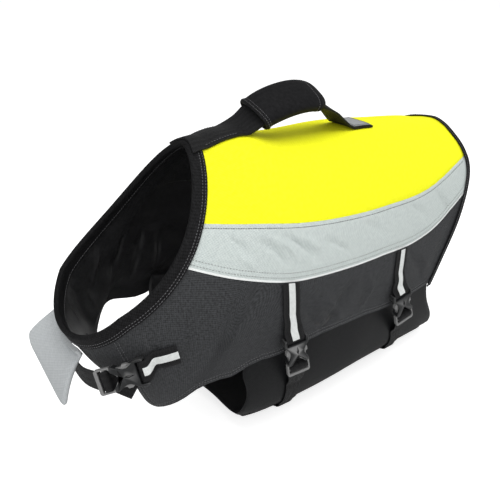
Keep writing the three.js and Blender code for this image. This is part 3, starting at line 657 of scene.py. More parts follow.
for side_name, side in (("left", LEFT), ("right", RIGHT)):
    ring, way = panel_grid(lambda s: side * band_upper(s), lambda s: side * band_lower(s), 190, 30)
    dip, _ = seam_draw(ring, way, [yellow_seam], 13)
    dip_low, to_lower = seam_draw(ring, way, [grey_seam], 15)
    middle = cut_point(ring, way)
    relief = dip + dip_low * 0.35 - 0.25 * (1 + uneven(middle[..., 0], middle[..., 2], 45, 19 + side))
    to_upper = (np.abs(way) - yellow_seam(ring)) * mm_round(ring, way)
    relief -= 0.5 * np.exp(-(((to_upper - 4.2) / 1.1) ** 2)) + 0.3 * np.exp(-(((to_lower - 9) / 1.3) ** 2))
    for line, width, height in BAND_CREASES:
        shifted = [[s + 0.12 * (side > 0), side * t] for s, t in line]
        relief = relief + fold(middle, shifted, width, height)
    lining_relief = 0.5 * uneven(middle[..., 0], middle[..., 2], 50, 23)
    band = padded_panel(f"band_cloth_{side_name}", ring, way, relief, to_lower, grey_material, lining_relief)
    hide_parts(f"band_{side_name}")

# The side panels. Charcoal textured nylon over foam runs down to a stitched hem,
# and forward into a lobe on each side of the chest. The front leg goes out
# through the arch behind the lobe.
charcoal_material = cloth_material(
    "charcoal_nylon", (0.008, 0.0085, 0.009), (0.052, 0.054, 0.058), 0.0012, 0.00035, 0.62, 0.25, patch=0.0025
)
SIDE_CREASES = [
    [[[1.06, 0.455], [1.10, 0.528], [1.16, 0.610]], 9.0, -3.6],
    [[[0.52, 0.480], [0.88, 0.528], [1.40, 0.560]], 8.0, 2.6],
    [[[0.45, 0.52], [0.75, 0.60], [0.95, 0.70]], 9.0, -3.0],
    [[[0.2, 0.60], [0.5, 0.66], [0.8, 0.76]], 7.0, -2.2],
    [[[1.9, 0.44], [2.2, 0.48], [2.3, 0.55]], 9.0, -2.8],
    [[[2.32, 0.460], [2.75, 0.505], [3.20, 0.555]], 9.0, -3.4],
    [[[2.74, 0.455], [3.20, 0.500], [3.55, 0.550]], 8.0, 2.8],
    [[[3.50, 0.455], [3.30, 0.505], [3.16, 0.560]], 9.0, -3.2],
    [[[3.75, 0.45], [3.9, 0.49], [3.85, 0.55]], 8.0, 2.4],
    [[[4.6, 0.44], [4.9, 0.49], [5.1, 0.54]], 8.0, -2.8],
]
LINING_CREASES = [
    [[[0.55, 0.44], [0.75, 0.52], [0.85, 0.62]], 5.0, 2.4],
    [[[0.95, 0.43], [1.2, 0.50], [1.3, 0.58]], 5.5, 2.2],
    [[[0.25, 0.50], [0.4, 0.57], [0.55, 0.66]], 4.5, -1.8],
    [[[1.5, 0.44], [1.7, 0.50], [1.8, 0.57]], 6.0, 2.0],
    [[[3.2, 0.45], [3.5, 0.49], [3.7, 0.54]], 8.0, 1.4],
]
for side_name, side in (("left", LEFT), ("right", RIGHT)):
    ring, way = panel_grid(
        lambda s: side * (grey_seam(s) + half_gap(s, 0.4)), lambda s: side * side_hem(s, side), 200, 64
    )
    dip, _ = seam_draw(ring, way, [grey_seam], 33)
    _, to_hem = seam_draw(ring, way, [lambda s: side_hem(s, side)], 35)
    middle = cut_point(ring, way)
    relief = dip * 0.7 - 0.4 * (1 + uneven(middle[..., 0], middle[..., 2], 70, 39 + side))
    relief -= 0.6 * np.exp(-(((to_hem - 6) / 2.0) ** 2))
    for line, width, height in SIDE_CREASES:
        shifted = [[s - 0.1 * (side > 0), side * t] for s, t in line]
        relief = relief + fold(middle, shifted, width, height)
    lining_relief = 1.1 * uneven(middle[..., 0], middle[..., 2], 42, 43)
    for line, width, height in LINING_CREASES:
        lining_relief = lining_relief + fold(middle, [[s, side * t] for s, t in line], width, height)
    panel = padded_panel(
        f"side_cloth_{side_name}", ring, way, relief, to_hem, charcoal_material, lining_relief
    )
    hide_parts(f"side_{side_name}")

# The throat wrap. A short padded piece of the same charcoal cloth joins the two
# chest lobes at the neck edge. It runs deeper towards the right lobe.
WRAP_BORDER = np.array([[-1, 0.55], [-0.5, 0.50], [0, 0.45], [0.5, 0.52], [1, 0.66]])
NECK_TAPE = 12.0


def wrap_lobe(ring, side):
    return side_hem(ring, side) + SEAM_GAP / mm_round(ring, 0.8)


across = np.linspace(-1, 1, 61)
across = np.sign(across) * np.abs(across) ** 1.15
low = read_table(WRAP_BORDER, across)[:, 0]
ring = np.linspace(0, 1, 30)[None, :] * low[:, None]
side = np.where(across < 0, LEFT, RIGHT)[:, None]
way = (1 - np.abs(across)[:, None] * (1 - wrap_lobe(ring, side))) * side
middle = cut_point(ring, way)
relief = -0.4 * (1 + uneven(middle[..., 1], middle[..., 2], 26, 51))
relief -= 0.7 * np.exp(-(((low[:, None] - ring) * 90 / 4) ** 2))
lining_relief = 0.4 * uneven(middle[..., 1], middle[..., 2], 30, 53)
throat_wrap = padded_panel(
    "throat_wrap_cloth", ring, way, relief, ring * 90, charcoal_material, lining_relief
)
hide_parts("throat_wrap")

# The belly panel. A smooth black padded piece hangs inside the two side panels,
# with a second, shorter pad under it that stiffens it where the straps pass.
BELLY_EDGES = np.array(
    [
        # share, front ring, rear ring
        [0.545, 1.75, 5.38],
        [0.60, 1.77, 5.45],
        [0.65, 1.93, 5.57],
        [0.70, 2.20, 5.73],
        [0.75, 2.38, 5.88],
        [0.82, 2.53, 6.03],
        [0.9, 2.73, 6.12],
        [1.0, 2.86, 6.18],
    ]
)
LAID_ON = 0.5
BELLY_INSET = 5.6
BELLY_THICK = 4.0
PAD_SHARE, PAD_THICK, PAD_TRIM = 0.90, 3.0, 0.12
belly_material = cloth_material(
    "black_belly_cloth", (0.0035, 0.0037, 0.0042), (0.0095, 0.010, 0.011), 0.0011, 0.00012, 0.5, 0.09
)


def tucked_top(ring):
    return side_hem(np.maximum(ring, 2)) - 0.022


def belly_grid(top_share, rows, columns, trim, crowd):
    across = np.linspace(-1, 1, rows)[:, None]
    across = np.sign(across) * np.abs(across) ** crowd
    u = np.linspace(0, 1, columns)[None, :]
    ring = np.full((rows, columns), 3.5)
    for _ in range(6):
        share = 1 - np.abs(across) * (1 - top_share(ring))
        edges = read_table(BELLY_EDGES, share)
        ring = edges[..., 0] + trim + (edges[..., 1] - edges[..., 0] - 2 * trim) * u
    return ring, share * np.where(across < 0, LEFT, RIGHT)


def belly_layer(name, ring, way, inner, outer, relief):
    normal = outward(ring, way)
    rounded = np.clip(edge_mm(ring, way) / 6, 0, 1)
    puff = np.sqrt(1 - (1 - rounded) ** 2) * (outer - inner) * 0.42
    front = cut_point(ring, way) + normal * (outer - (outer - inner) * 0.42 + puff + relief)[..., None]
    back = cut_point(ring, way) + normal * (inner + (outer - inner) * 0.42 - puff)[..., None]
    return shell(name, front, back, belly_material, lining_material)


def edge_mm(ring, way):
    """Millimetres to the panel's edge along its rows and its columns."""
    points = cut_point(ring, way)
    along = np.linalg.norm(points - points[:, :1], axis=-1)
    back = np.linalg.norm(points - points[:, -1:], axis=-1)
    left = np.linalg.norm(points - points[:1], axis=-1)
    right = np.linalg.norm(points - points[-1:], axis=-1)
    return np.min([along, back, left, right], axis=0)


ring, way = belly_grid(tucked_top, 160, 110, 0, 1.8)
middle = cut_point(ring, way)
relief = -0.3 * (1 + uneven(middle[..., 0], middle[..., 1], 80, 61))
belly = belly_layer("belly_cloth", ring, way, -BELLY_INSET - BELLY_THICK, -BELLY_INSET, relief)
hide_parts("belly_panel")

ring, way = belly_grid(lambda s: np.full_like(s, PAD_SHARE), 60, 100, PAD_TRIM, 1.8)
pad_low = -BELLY_INSET + LAID_ON
pad = belly_layer("belly_pad_cloth", ring, way, pad_low, pad_low + PAD_THICK, np.zeros(ring.shape))
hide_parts("belly_pad")

# The edge tapes. Black woven tape is folded over the neck edge and, narrower,
# over the tail edge, and sewn through near its border.
TAPE_THICK = 1.1
TAPE_CLEAR = 0.35
TAIL_TAPE = 7.0
tape_material = cloth_material(
    "black_edge_tape", (0.002, 0.002, 0.0022), (0.015, 0.015, 0.016), 0.0016, 0.0004, 0.6, 0.08
)


def edge_tape(name, ring, way, width, direction, closed):
    """Tape along the edge stops (ring, way). direction is 1 at the tail and -1 at the neck."""
    ahead = unit(along_back(ring, way)) * direction
    out = outward(ring, way)
    edge = cut_point(ring, way)
    inner_ring = ring - direction * width / mm_back(ring, way)

    def profile(away):
        legs = []
        half = EDGE_THICK / 2 + away
        for share in (0.0, 0.3, 0.6, 0.85):
            stop = inner_ring + (ring - inner_ring) * share
            legs.append((cut_point(stop, way), outward(stop, way)))
        upper = [p + n * (away + 0.25 * (k == 0)) for k, (p, n) in enumerate(legs)]
        lower = [p + n * (-EDGE_THICK - away) for p, n in legs[::-1]]
        turn = []
        for angle in np.linspace(80, -80, 7):
            c, s = math.cos(math.radians(angle)), math.sin(math.radians(angle))
            centre = edge - out * EDGE_THICK / 2
            turn.append(centre + ahead * (half * 0.75 * c) + out * (half * s))
        return np.stack([*upper, *turn, *lower], 1)

    face = profile(TAPE_CLEAR + TAPE_THICK)
    return shell(name, face, profile(TAPE_CLEAR), tape_material, tape_material, rows_join=closed)


def evenly(points, extra, count):
    """Stops at even distances along a path, read from its points and their extra values."""
    walked = np.r_[0, np.cumsum(np.linalg.norm(np.diff(points, axis=0), axis=1))]
    at = np.linspace(0, walked[-1], count)
    return np.stack([np.interp(at, walked, column) for column in extra.T], 1)


way = np.linspace(-1, 1, 1200)
neck_way = evenly(cut_point(0, way), way[:, None], 401)[:-1, 0]
neck_tape = edge_tape("neck_tape", np.zeros(400), neck_way, NECK_TAPE, -1, True)
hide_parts("neck_binding")

way = np.linspace(-0.575, 0.575, 1200)
tail_way = evenly(cut_point(tail_edge(way), way), way[:, None], 340)[:, 0]
tail_tape = edge_tape("tail_tape", tail_edge(tail_way), tail_way, TAIL_TAPE, 1, False)
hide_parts("tail_binding")


# The belly straps. Two short lengths of ribbed 20 mm webbing on each side are
# caught in the grey seam, carry a reflective tape and loop round the bar of a
# buckle. One long strap for each pair runs under the belly, from side to side.
STRAP_LINES = {
    # share of the way round, ring
    "front": np.array([[0.40, 1.93], [0.5, 2.24], [0.6, 2.70], [0.7, 3.14], [0.8, 3.39], [0.9, 3.54], [1, 3.58]]),
    "rear": np.array([[0.40, 4.43], [0.5, 4.47], [0.6, 4.72], [0.67, 4.93], [0.77, 5.18], [0.9, 5.36], [1, 5.40]]),
}
BUCKLE_AT = {"front": 0.580, "rear": 0.583}
BUCKLE_RISE, BUCKLE_PLUMB, BUCKLE_BODY = 7.4, 0.3, 17.0
WEBBING, WEBBING_THICK = 20.0, 1.5
REFLECTIVE, REFLECTIVE_THICK = 7.5, 0.6
REFLECTIVE_LIFT = (WEBBING_THICK + REFLECTIVE_THICK) / 2 + 0.1
# Paths round the buckle's bars, as its own y (towards the socket) and z (out).
LOOP_IN = [[32, -0.6], [26, 1.7], [22.4, 2.5], [19.5, 2.2], [18.4, 0.8]]
LOOP_BACK = [[18.4, -0.8], [19.5, -2.2], [22.4, -2.5], [27, -3.4]]
THREADED = [
    [-5, -5.6], [-8.6, -5.4], [-10.2, -3.4], [-10.9, -1.4], [-11.2, 0.4], [-11.9, 2.5], [-13.2, 3.3],
    [-15.6, 3.3], [-16.9, 2.5], [-17.6, 0.4], [-18.0, -1.4], [-19.4, -3.0], [-21.6, -3.2], [-26, -3.8],
]


def webbing_material(name, dark, light, rib, relief):
    """Nylon webbing: close ribs across it, each pushed to a slight arrow by its lengthwise rows."""
    material, tree, shader = empty_material(name)
    place = add_node(tree, "ShaderNodeUVMap", uv_map="Cloth").outputs["UV"]
    parts = add_node(tree, "ShaderNodeSeparateXYZ", {"Vector": place})
    arrow = add_node(tree, "ShaderNodeMath", {0: parts.outputs["Y"], 1: 0.0031}, operation="PINGPONG")
    shifted = add_node(
        tree, "ShaderNodeMath", {0: arrow.outputs[0], 1: 0.5, 2: parts.outputs["X"]}, operation="MULTIPLY_ADD"
    )
    turns = add_node(tree, "ShaderNodeMath", {0: shifted.outputs[0], 1: math.pi / rib}, operation="MULTIPLY")
    wave = add_node(tree, "ShaderNodeMath", {0: turns.outputs[0]}, operation="SINE")
    ribs = add_node(tree, "ShaderNodeMath", {0: wave.outputs[0]}, operation="ABSOLUTE")
    rows = add_node(tree, "ShaderNodeMath", {0: arrow.outputs[0], 1: 320.0}, operation="MULTIPLY")
    height = add_node(
        tree, "ShaderNodeMath", {0: rows.outputs[0], 1: 0.35, 2: ribs.outputs[0]}, operation="MULTIPLY_ADD"
    )
    speck = add_node(tree, "ShaderNodeTexNoise", {"Vector": place, "Scale": 900.0, "Detail": 2.0})
    tone = add_node(
        tree, "ShaderNodeMath", {0: speck.outputs["Fac"], 1: 0.8, 2: height.outputs[0]}, operation="MULTIPLY_ADD"
    )
    factor = add_node(
        tree, "ShaderNodeMapRange", {"Value": tone.outputs[0], "From Min": 0.4, "From Max": 1.7}
    )
    colour = add_node(
        tree,
        "ShaderNodeMix",
        {"Factor": factor.outputs["Result"], "A": (*dark, 1), "B": (*light, 1)},
        data_type="RGBA",
    )
    bump = add_node(
        tree, "ShaderNodeBump", {"Height": height.outputs[0], "Strength": 1.0, "Distance": relief}
    )
    tree.links.new(colour.outputs["Result"], shader.inputs["Base Color"])
    tree.links.new(bump.outputs["Normal"], shader.inputs["Normal"])
    shader.inputs["Roughness"].default_value = 0.55
    shader.inputs["Specular IOR Level"].default_value = 0.12
    return material


black_webbing = webbing_material("black_webbing", (0.002, 0.002, 0.0022), (0.022, 0.022, 0.023), 0.0014, 0.0005)
reflective_tape = cloth_material(
    "reflective_tape", (0.55, 0.57, 0.56), (0.72, 0.74, 0.73), 0.0009, 0.00006, 0.4, 0.4
)


def smooth_rows(at, across, step):
    """Rows every step millimetres on a smooth curve through the given rows."""
    walked = np.r_[0, np.cumsum(np.linalg.norm(np.diff(at, axis=0), axis=1))]
    rows = np.column_stack([walked, at, across])
    read = read_table(rows, np.linspace(0, walked[-1], int(walked[-1] / step) + 2))
    return read[:, :3], unit(read[:, 3:])


def strap(name, rows, width, thick, material, lift=0.0, step=1.7):
    """A flat strap. rows are its middle points and the directions across it."""
    at, across = smooth_rows(*rows, step)
    normal = unit(np.cross(np.gradient(at, axis=0), across))
    k = np.linspace(-0.5, 0.5, 13)
    half = (thick / 2 * (1 - 0.6 * np.abs(2 * k) ** 12))[None, :, None]
    middle = at[:, None] + across[:, None] * (k * width)[None, :, None] + normal[:, None] * lift
    out = normal[:, None] * half
    return shell(name, middle + out, middle - out, material, material)


def declare_strap(node):
    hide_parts(node)


def join_rows(*parts):
    """Rows from several parts, each turned so that its directions across agree with the last."""
    at, across = [parts[0][0]], [parts[0][1]]
    for more_at, more_across in parts[1:]:
        same = 1 if more_across[0] @ across[-1][-1] > 0 else -1
        at.append(more_at)
        across.append(more_across * same)
    return np.concatenate(at), np.concatenate(across)


def in_buckle(buckle, path):
    middle, x, y, z = buckle
    path = np.array(path)
    at = middle + path[:, :1] * y + path[:, 1:] * z
    return at, np.repeat(x[None], len(path), 0)


def buckle_place(middle, up, face):
    """Where a buckle sits: its middle, then its directions across, to the socket and out."""
    y = unit(up)
    z = unit(face - y * (face @ y))
    return middle, np.cross(y, z), y, z


buckles = {}
strap_rows = {}
for place, line in STRAP_LINES.items():
    lower = {}
    for side_name, side in (("left", LEFT), ("right", RIGHT)):
        share = BUCKLE_AT[place]

        def strap_ring(t):
            return read_table(line, t)[..., 0]

        def on_line(shares, heights):
            shares = np.atleast_1d(shares).astype(float)
            ring = strap_ring(shares)
            across = -side * unit(along_back(ring, side * shares))
            return on_vest(ring, side * shares, heights), across

        def under_belly(shares, height):
            shares = np.atleast_1d(shares).astype(float)
            ring = strap_ring(shares)
            across = -side * unit(along_back(ring, side * shares))
            return cut_point(ring, side * shares) + outward(ring, side * shares) * height, across

        ring = strap_ring(share)
        span = float(mm_round(ring, side * share))
        top = on_line(share - BUCKLE_BODY / span, BUCKLE_RISE)[0][0]
        up = unit((top - on_line(share, BUCKLE_RISE)[0][0]) * [1, BUCKLE_PLUMB, 1])
        face = outward(ring, side * share) + [-0.2, 0, 0]
        buckle = buckle_place(top - up * BUCKLE_BODY, up, face)
        buckles[f"{place}_buckle_{side_name}"] = buckle

        start = float(grey_seam(strap_ring(0.42))) + 0.001
        lying = LAID_ON + WEBBING_THICK / 2
        down = on_line(np.linspace(start, share - 47 / span, 12), lying)
        rising = on_line(share - 39 / span, 3.1)
        end = on_line(share - 33 / span, lying)
        rows = join_rows(down, rising, in_buckle(buckle, LOOP_IN + LOOP_BACK), end)
        piece = strap(f"{place}_webbing_{side_name}", rows, WEBBING, WEBBING_THICK, black_webbing)
        node = f"{place}_strap_{side_name}"
        declare_strap(node)
        strap_rows[node] = rows

        rows = join_rows(down, rising, in_buckle(buckle, LOOP_IN[:3]))
        piece = strap(
            f"{place}_tape_{side_name}", rows, REFLECTIVE, REFLECTIVE_THICK, reflective_tape, REFLECTIVE_LIFT
        )
        node = f"{place}_reflector_{side_name}"
        declare_strap(node)
        strap_rows[node] = rows

        on_belly = -BELLY_INSET + lying
        on_pad = on_belly + PAD_THICK + LAID_ON
        lower[side] = join_rows(
            in_buckle(buckle, THREADED),
            under_belly(share + 44 / span, 1.6),
            under_belly(np.linspace(share + 60 / span, 0.85, 9), on_belly),
            under_belly(np.linspace(0.89, 0.985, 7), on_pad),
        )
    right_at, right_across = lower[RIGHT]
    rows = join_rows(lower[LEFT], (right_at[::-1], right_across[::-1]))
    piece = strap(f"{place}_webbing_lower", rows, WEBBING, WEBBING_THICK, black_webbing)
    declare_strap(f"{place}_strap_lower")
    strap_rows[f"{place}_strap_lower"] = rows

# The chest strap. It is sewn to the left lobe under a reflective tape, loops into
# a buckle that hangs slanting in front of the chest, and its other half crosses
# to the right lobe. The free end of that half hangs back under the buckle.
CHEST_PATCH = np.array([[0.69, 0.628], [0.635, 0.648], [0.585, 0.668], [0.545, 0.686]])
CHEST_CROSS = np.array([[-105, -25, -187], [-103, 0, -191], [-99.5, 22, -191], [-94, 44, -186.5], [-84, 62, -179]])
CHEST_TAIL = np.array([[0, -17.4, -7.6], [6, -10, -8.9], [13, -3, -10.8], [20, 4, -12.8]])
chest_buckle = buckle_place(
    np.array([-87.5, -65.2, -172.4]), np.array([0.74, -0.58, 0.30]), np.array([-0.8, -0.5, 0.15])
)
buckles["chest_buckle"] = chest_buckle


def patch_rows(side):
    ring, share = CHEST_PATCH.T
    at = on_vest(ring, side * share, 1.0 + WEBBING_THICK / 2)
    return at, unit(np.cross(outward(ring, side * share), np.gradient(at, axis=0)))


loop = in_buckle(chest_buckle, LOOP_IN[1:] + LOOP_BACK)
rows = join_rows(patch_rows(LEFT), loop)
piece = strap("chest_webbing_left", rows, WEBBING, WEBBING_THICK, black_webbing)
declare_strap("chest_strap_left")
strap_rows["chest_strap_left"] = rows

rows = (rows[0][:6], rows[1][:6])
piece = strap("chest_tape", rows, REFLECTIVE, REFLECTIVE_THICK, reflective_tape, REFLECTIVE_LIFT)
declare_strap("chest_reflector")
strap_rows["chest_reflector"] = rows

along = unit(np.gradient(CHEST_CROSS.astype(float), axis=0))
out = unit((CHEST_CROSS - [-30, 0, 0]) * [1, 1, 0])
crossing = (CHEST_CROSS.astype(float), unit(np.cross(out, along)))
far_at, far_across = patch_rows(RIGHT)
rows = join_rows(in_buckle(chest_buckle, THREADED[:-1]), crossing, (far_at[::-1], far_across[::-1]))
piece = strap("chest_webbing_right", rows, WEBBING, WEBBING_THICK, black_webbing)
declare_strap("chest_strap_right")
strap_rows["chest_strap_right"] = rows

middle, x, y, z = chest_buckle
tail_at = middle + CHEST_TAIL @ np.array([x, y, z])
rows = (tail_at, np.repeat(unit(0.7 * x - 0.7 * y)[None], len(tail_at), 0))
piece = strap("chest_webbing_tail", rows, WEBBING, WEBBING_THICK, black_webbing)
declare_strap("chest_strap_tail")
strap_rows["chest_strap_tail"] = rows

# The buckles. Each is two mouldings of dark grey acetal: a socket with windows
# at its sides, and a plug with two springy prongs and a frame for the strap.


def moulded_material():
    material, tree, shader = empty_material("dark_acetal")
    place = add_node(tree, "ShaderNodeTexCoord").outputs["Object"]
    grain = add_node(tree, "ShaderNodeTexNoise", {"Vector": place, "Scale": 1800.0, "Detail": 3.0})
    cloudy = add_node(tree, "ShaderNodeTexNoise", {"Vector": place, "Scale": 90.0, "Detail": 3.0})
    colour = add_node(
        tree,
        "ShaderNodeMix",
        {"Factor": cloudy.outputs["Fac"], "A": (0.008, 0.0085, 0.009, 1), "B": (0.020, 0.021, 0.022, 1)},
        data_type="RGBA",
    )
    # A painted highlight: the colour pales at the rounded edges, where they would catch the light.
    edges = add_node(
        tree,
        "ShaderNodeMapRange",
        {
            "Value": add_node(tree, "ShaderNodeNewGeometry").outputs["Pointiness"],
            "From Min": 0.53,
            "From Max": 0.62,
        },
    )
    painted_edge_highlight = add_node(
        tree,
        "ShaderNodeMix",
        {"Factor": edges.outputs["Result"], "A": colour.outputs["Result"], "B": (0.20, 0.20, 0.20, 1)},
        data_type="RGBA",
    )
    rough = add_node(
        tree, "ShaderNodeMapRange", {"Value": cloudy.outputs["Fac"], "To Min": 0.32, "To Max": 0.44}
    )
    bump = add_node(
        tree, "ShaderNodeBump", {"Height": grain.outputs["Fac"], "Strength": 0.25, "Distance": 0.0001}
    )
    tree.links.new(painted_edge_highlight.outputs["Result"], shader.inputs["Base Color"])
    tree.links.new(rough.outputs["Result"], shader.inputs["Roughness"])
    tree.links.new(bump.outputs["Normal"], shader.inputs["Normal"])
    shader.inputs["Specular IOR Level"].default_value = 0.25
    return material


acetal = moulded_material()
for name in buckles:
    for half in ("socket", "plug"):
        node = f"{name}_{half}"
        mesh = nodes[node].data.copy()
        mesh.name = f"{node}_moulding"
        form = bmesh.new()
        form.from_mesh(mesh)
        bmesh.ops.remove_doubles(form, verts=form.verts, dist=1e-6)
        bmesh.ops.dissolve_limit(form, angle_limit=math.radians(2), verts=form.verts, edges=form.edges)
        form.to_mesh(mesh)
        form.free()
        mesh.materials.clear()
        mesh.materials.append(acetal)
        rough_piece = bpy.data.objects.new(f"{node}_rough", mesh)
        bpy.context.scene.collection.objects.link(rough_piece)
        bevel = rough_piece.modifiers.new("rounded_edges", "BEVEL")
        bevel.width = 0.5 * MM
        bevel.segments = 3
        bevel.limit_method = "ANGLE"
        bevel.angle_limit = math.radians(30)
        ready = rough_piece.evaluated_get(bpy.context.evaluated_depsgraph_get())
        rounded = bpy.data.meshes.new_from_object(ready)
        rounded.shade_smooth()
        rounded.set_sharp_from_angle(angle=math.radians(40))
        bpy.data.objects.remove(rough_piece)
        piece = bpy.data.objects.new(f"{node}_moulded", rounded)
        bpy.context.scene.collection.objects.link(piece)
        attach(piece, "root")
        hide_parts(node)

# The handle. One length of ribbed 38 mm webbing is sewn along the back from the
# neck edge, rises free through a padded grip and is sewn down again behind it,
# under a flat patch.
HANDLE_WIDTH, HANDLE_THICK = 38.0, 2.0
HANDLE_ARCH = np.array(
    [
        # x, y, z, lean in degrees towards the left
        [97, -3, 13, 8],
        [110, -7, 22, 18],
        [128, -9, 29, 25],
        [150, -10, 33, 27],
        [172, -10, 33, 27],
        [190, -9, 28, 26],
        [206, -9, 16, 12],
        [220, -8, 3.5, 6],
    ],
    float,
)
OVER_TAPE = TAPE_THICK + 0.9
OVER_PANEL = LAID_ON + 0.2
LAND_AT, LAND_Y = (3.83, 4.26), -8.0


def way_at(ring, y):
    """The way round, near the back's middle, where the cut surface is y to the side."""
    y = np.broadcast_to(y, np.shape(ring)).astype(float)
    low, high = np.zeros(y.shape), np.full(y.shape, 0.5)
    for _ in range(30):
        half = (low + high) / 2
        inside = np.abs(cut_point(ring, half)[..., 1]) < np.abs(y)
        low, high = np.where(inside, half, low), np.where(inside, high, half)
    return np.sign(y) * low


def sewn_rows(rings, heights, y, columns):
    ring = np.repeat(np.array(rings, float)[:, None], len(columns), 1)
    way = way_at(ring, y + columns * HANDLE_WIDTH)
    return on_vest(ring, way, np.broadcast_to(np.array(heights)[:, None], ring.shape))


columns = np.linspace(-0.5, 0.5, 17)
arch_at = HANDLE_ARCH[:, :3]
arch_along = unit(np.array([arch_at[min(i + 1, 7)] - arch_at[max(i - 1, 0)] for i in range(8)]))
lean = np.radians(HANDLE_ARCH[:, 3])
arch_across = np.stack([0 * lean, np.cos(lean), np.sin(lean)], 1)
arch_across = unit(arch_across - arch_along * (arch_across * arch_along).sum(1, keepdims=True))
arch_out = unit(np.cross(arch_along, arch_across))
tape_end = NECK_TAPE / float(mm_back(0.1, 0.0))
front_rings = [0.03, tape_end, tape_end + 0.12, 0.45, 0.58, 0.71, 0.84, 0.98]
front_heights = [OVER_TAPE, OVER_TAPE] + [OVER_PANEL] * 5 + [OVER_PANEL + 0.6]
rear_rings = [LAND_AT[0], 3.90, 4.08, LAND_AT[1]]
rear_heights = [OVER_PANEL + 0.8] + [OVER_PANEL] * 3


def handle_face(lift):
    arch = arch_at[:, None] + arch_across[:, None] * (columns * HANDLE_WIDTH)[None, :, None]
    rows = np.concatenate(
        [
            sewn_rows(front_rings, np.array(front_heights) + lift, 0.0, columns),
            arch + arch_out[:, None] * lift,
            sewn_rows(rear_rings, np.array(rear_heights) + lift, LAND_Y, columns),
        ]
    )
    walked = np.r_[0, np.cumsum(np.linalg.norm(np.diff(rows[:, 8], axis=0), axis=1))]
    table = np.column_stack([walked, rows.reshape(len(rows), -1)])
    fine = read_table(table, np.linspace(0, walked[-1], 190))
    return fine.reshape(190, len(columns), 3)


handle_outer, handle_inner = handle_face(HANDLE_THICK), handle_face(0.0)
handle = shell("handle_strap", handle_outer, handle_inner, black_webbing, black_webbing)
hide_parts("handle_webbing")

patch_columns = np.linspace(-0.44, 0.44, 13)
patch_rings = np.linspace(3.88, 4.23, 14)
patch_low = OVER_PANEL + HANDLE_THICK + 0.5
# The patch's pale grey is partly its own pale colour and partly a painted sheen on the sewn-down webbing end.
patch_material_with_painted_sheen = cloth_material(
    "grey_patch_painted_sheen", (0.24, 0.25, 0.26), (0.36, 0.37, 0.38), 0.0009, 0.00006, 0.45, 0.3
)
patch = shell(
    "handle_end_patch",
    sewn_rows(patch_rings, np.full(14, patch_low + REFLECTIVE_THICK), LAND_Y, patch_columns),
    sewn_rows(patch_rings, np.full(14, patch_low), LAND_Y, patch_columns),
    patch_material_with_painted_sheen,
    patch_material_with_painted_sheen,
)
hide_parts("handle_patch")

# The grip. A sleeve of black cloth over foam is wrapped round the raised part of
# the handle. Its front end is bound with a ring of tape, and its rear end is
# rounded and sewn down on the webbing.
GRIP_WIDTH, GRIP_HEIGHT = 45.0, 18.0
GRIP_WALL = (2.8, 4.2)
grip_material = cloth_material(
    "black_grip_cloth", (0.003, 0.003, 0.0035), (0.012, 0.012, 0.013), 0.0009, 0.00012, 0.6, 0.08
)


def grip_sleeve(width, height, stations, swell):
    """Rings round the arch. swell scales the ring at each station."""
    walked = np.r_[0, np.cumsum(np.linalg.norm(np.diff(arch_at, axis=0), axis=1))]
    table = np.column_stack([walked, arch_at, arch_across, arch_out])
    from_mm, to_mm = walked[1], walked[5]
    read = read_table(table, from_mm + (to_mm - from_mm) * stations)
    at, across, out = read[:, :3], unit(read[:, 3:6]), unit(read[:, 6:])
    angle = np.linspace(0, 2 * np.pi, 64, endpoint=False)
    x = np.sign(np.cos(angle)) * np.abs(np.cos(angle)) ** 0.7 * width / 2
    z = np.sign(np.sin(angle)) * np.abs(np.sin(angle)) ** 0.8 * height / 2
    at = at[:, None] + out[:, None] * HANDLE_THICK / 2
    flat = across[:, None] * x[None, :, None] + out[:, None] * z[None, :, None]
    return at + flat * swell[:, None, None]


stations = np.linspace(0, 1, 70)
closing = np.clip((stations - 0.86) / 0.14, 0, 1)
swell = 1 - 0.24 * (1 - np.sqrt(1 - closing**2 * 0.98)) - 0.03 * np.exp(-(((stations - 0.86) / 0.015) ** 2))
swell_in = np.minimum(1.0, swell + 0.05)
outer = grip_sleeve(GRIP_WIDTH, GRIP_HEIGHT, stations, swell)
inner = grip_sleeve(
    GRIP_WIDTH - 2 * GRIP_WALL[0], GRIP_HEIGHT - 2 * GRIP_WALL[1], stations, swell_in
)
grip = shell("handle_grip_sleeve", outer, inner, grip_material, grip_material, columns_join=True)
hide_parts("handle_grip")

ring_stations = np.linspace(-0.012, 0.045, 12)
hump = np.sin(np.pi * np.linspace(0, 1, 12))
rim_out = grip_sleeve(GRIP_WIDTH + 1.0, GRIP_HEIGHT + 1.0, ring_stations, 1 + 0.045 * hump)
rim_in = grip_sleeve(GRIP_WIDTH - 2.0, GRIP_HEIGHT - 2.0, ring_stations, 1 - 0.02 * hump)
rim = shell("handle_grip_rim", rim_out, rim_in, tape_material, tape_material, columns_join=True)

# The chin flap. A float of light grey laminated foam hangs from the throat wrap
# and is turned a little to the wearer's right. It keeps the chin above water.
FLAP_THICK, FLAP_HANG, FLAP_TOP, FLAP_CORNER = 4.5, 0.14, 0.15, 0.4
FLAP_ROUNDING = (0.24, 0.10)
FLAP_FROM, FLAP_TO = 50.0, -15.0
FLAP_RIGHT_FOOT = np.array([-124.0, 63, -179])
FLAP_LEFT_FOOT = np.array([-124.0, -18, -220])
flap_material = cloth_material(
    "light_grey_foam", (0.40, 0.42, 0.43), (0.48, 0.50, 0.51), 0.0018, 0.00025, 0.75, 0.1
)


def way_low(ring, y):
    """The way round, near the throat's middle, where the cut surface is y to the side."""
    low, high = np.full(y.shape, 0.5), np.ones(y.shape)
    for _ in range(30):
        half = (low + high) / 2
        outside = np.abs(cut_point(ring, half)[..., 1]) > np.abs(y)
        low, high = np.where(outside, half, low), np.where(outside, high, half)
    return np.where(y < 0, -low, low)


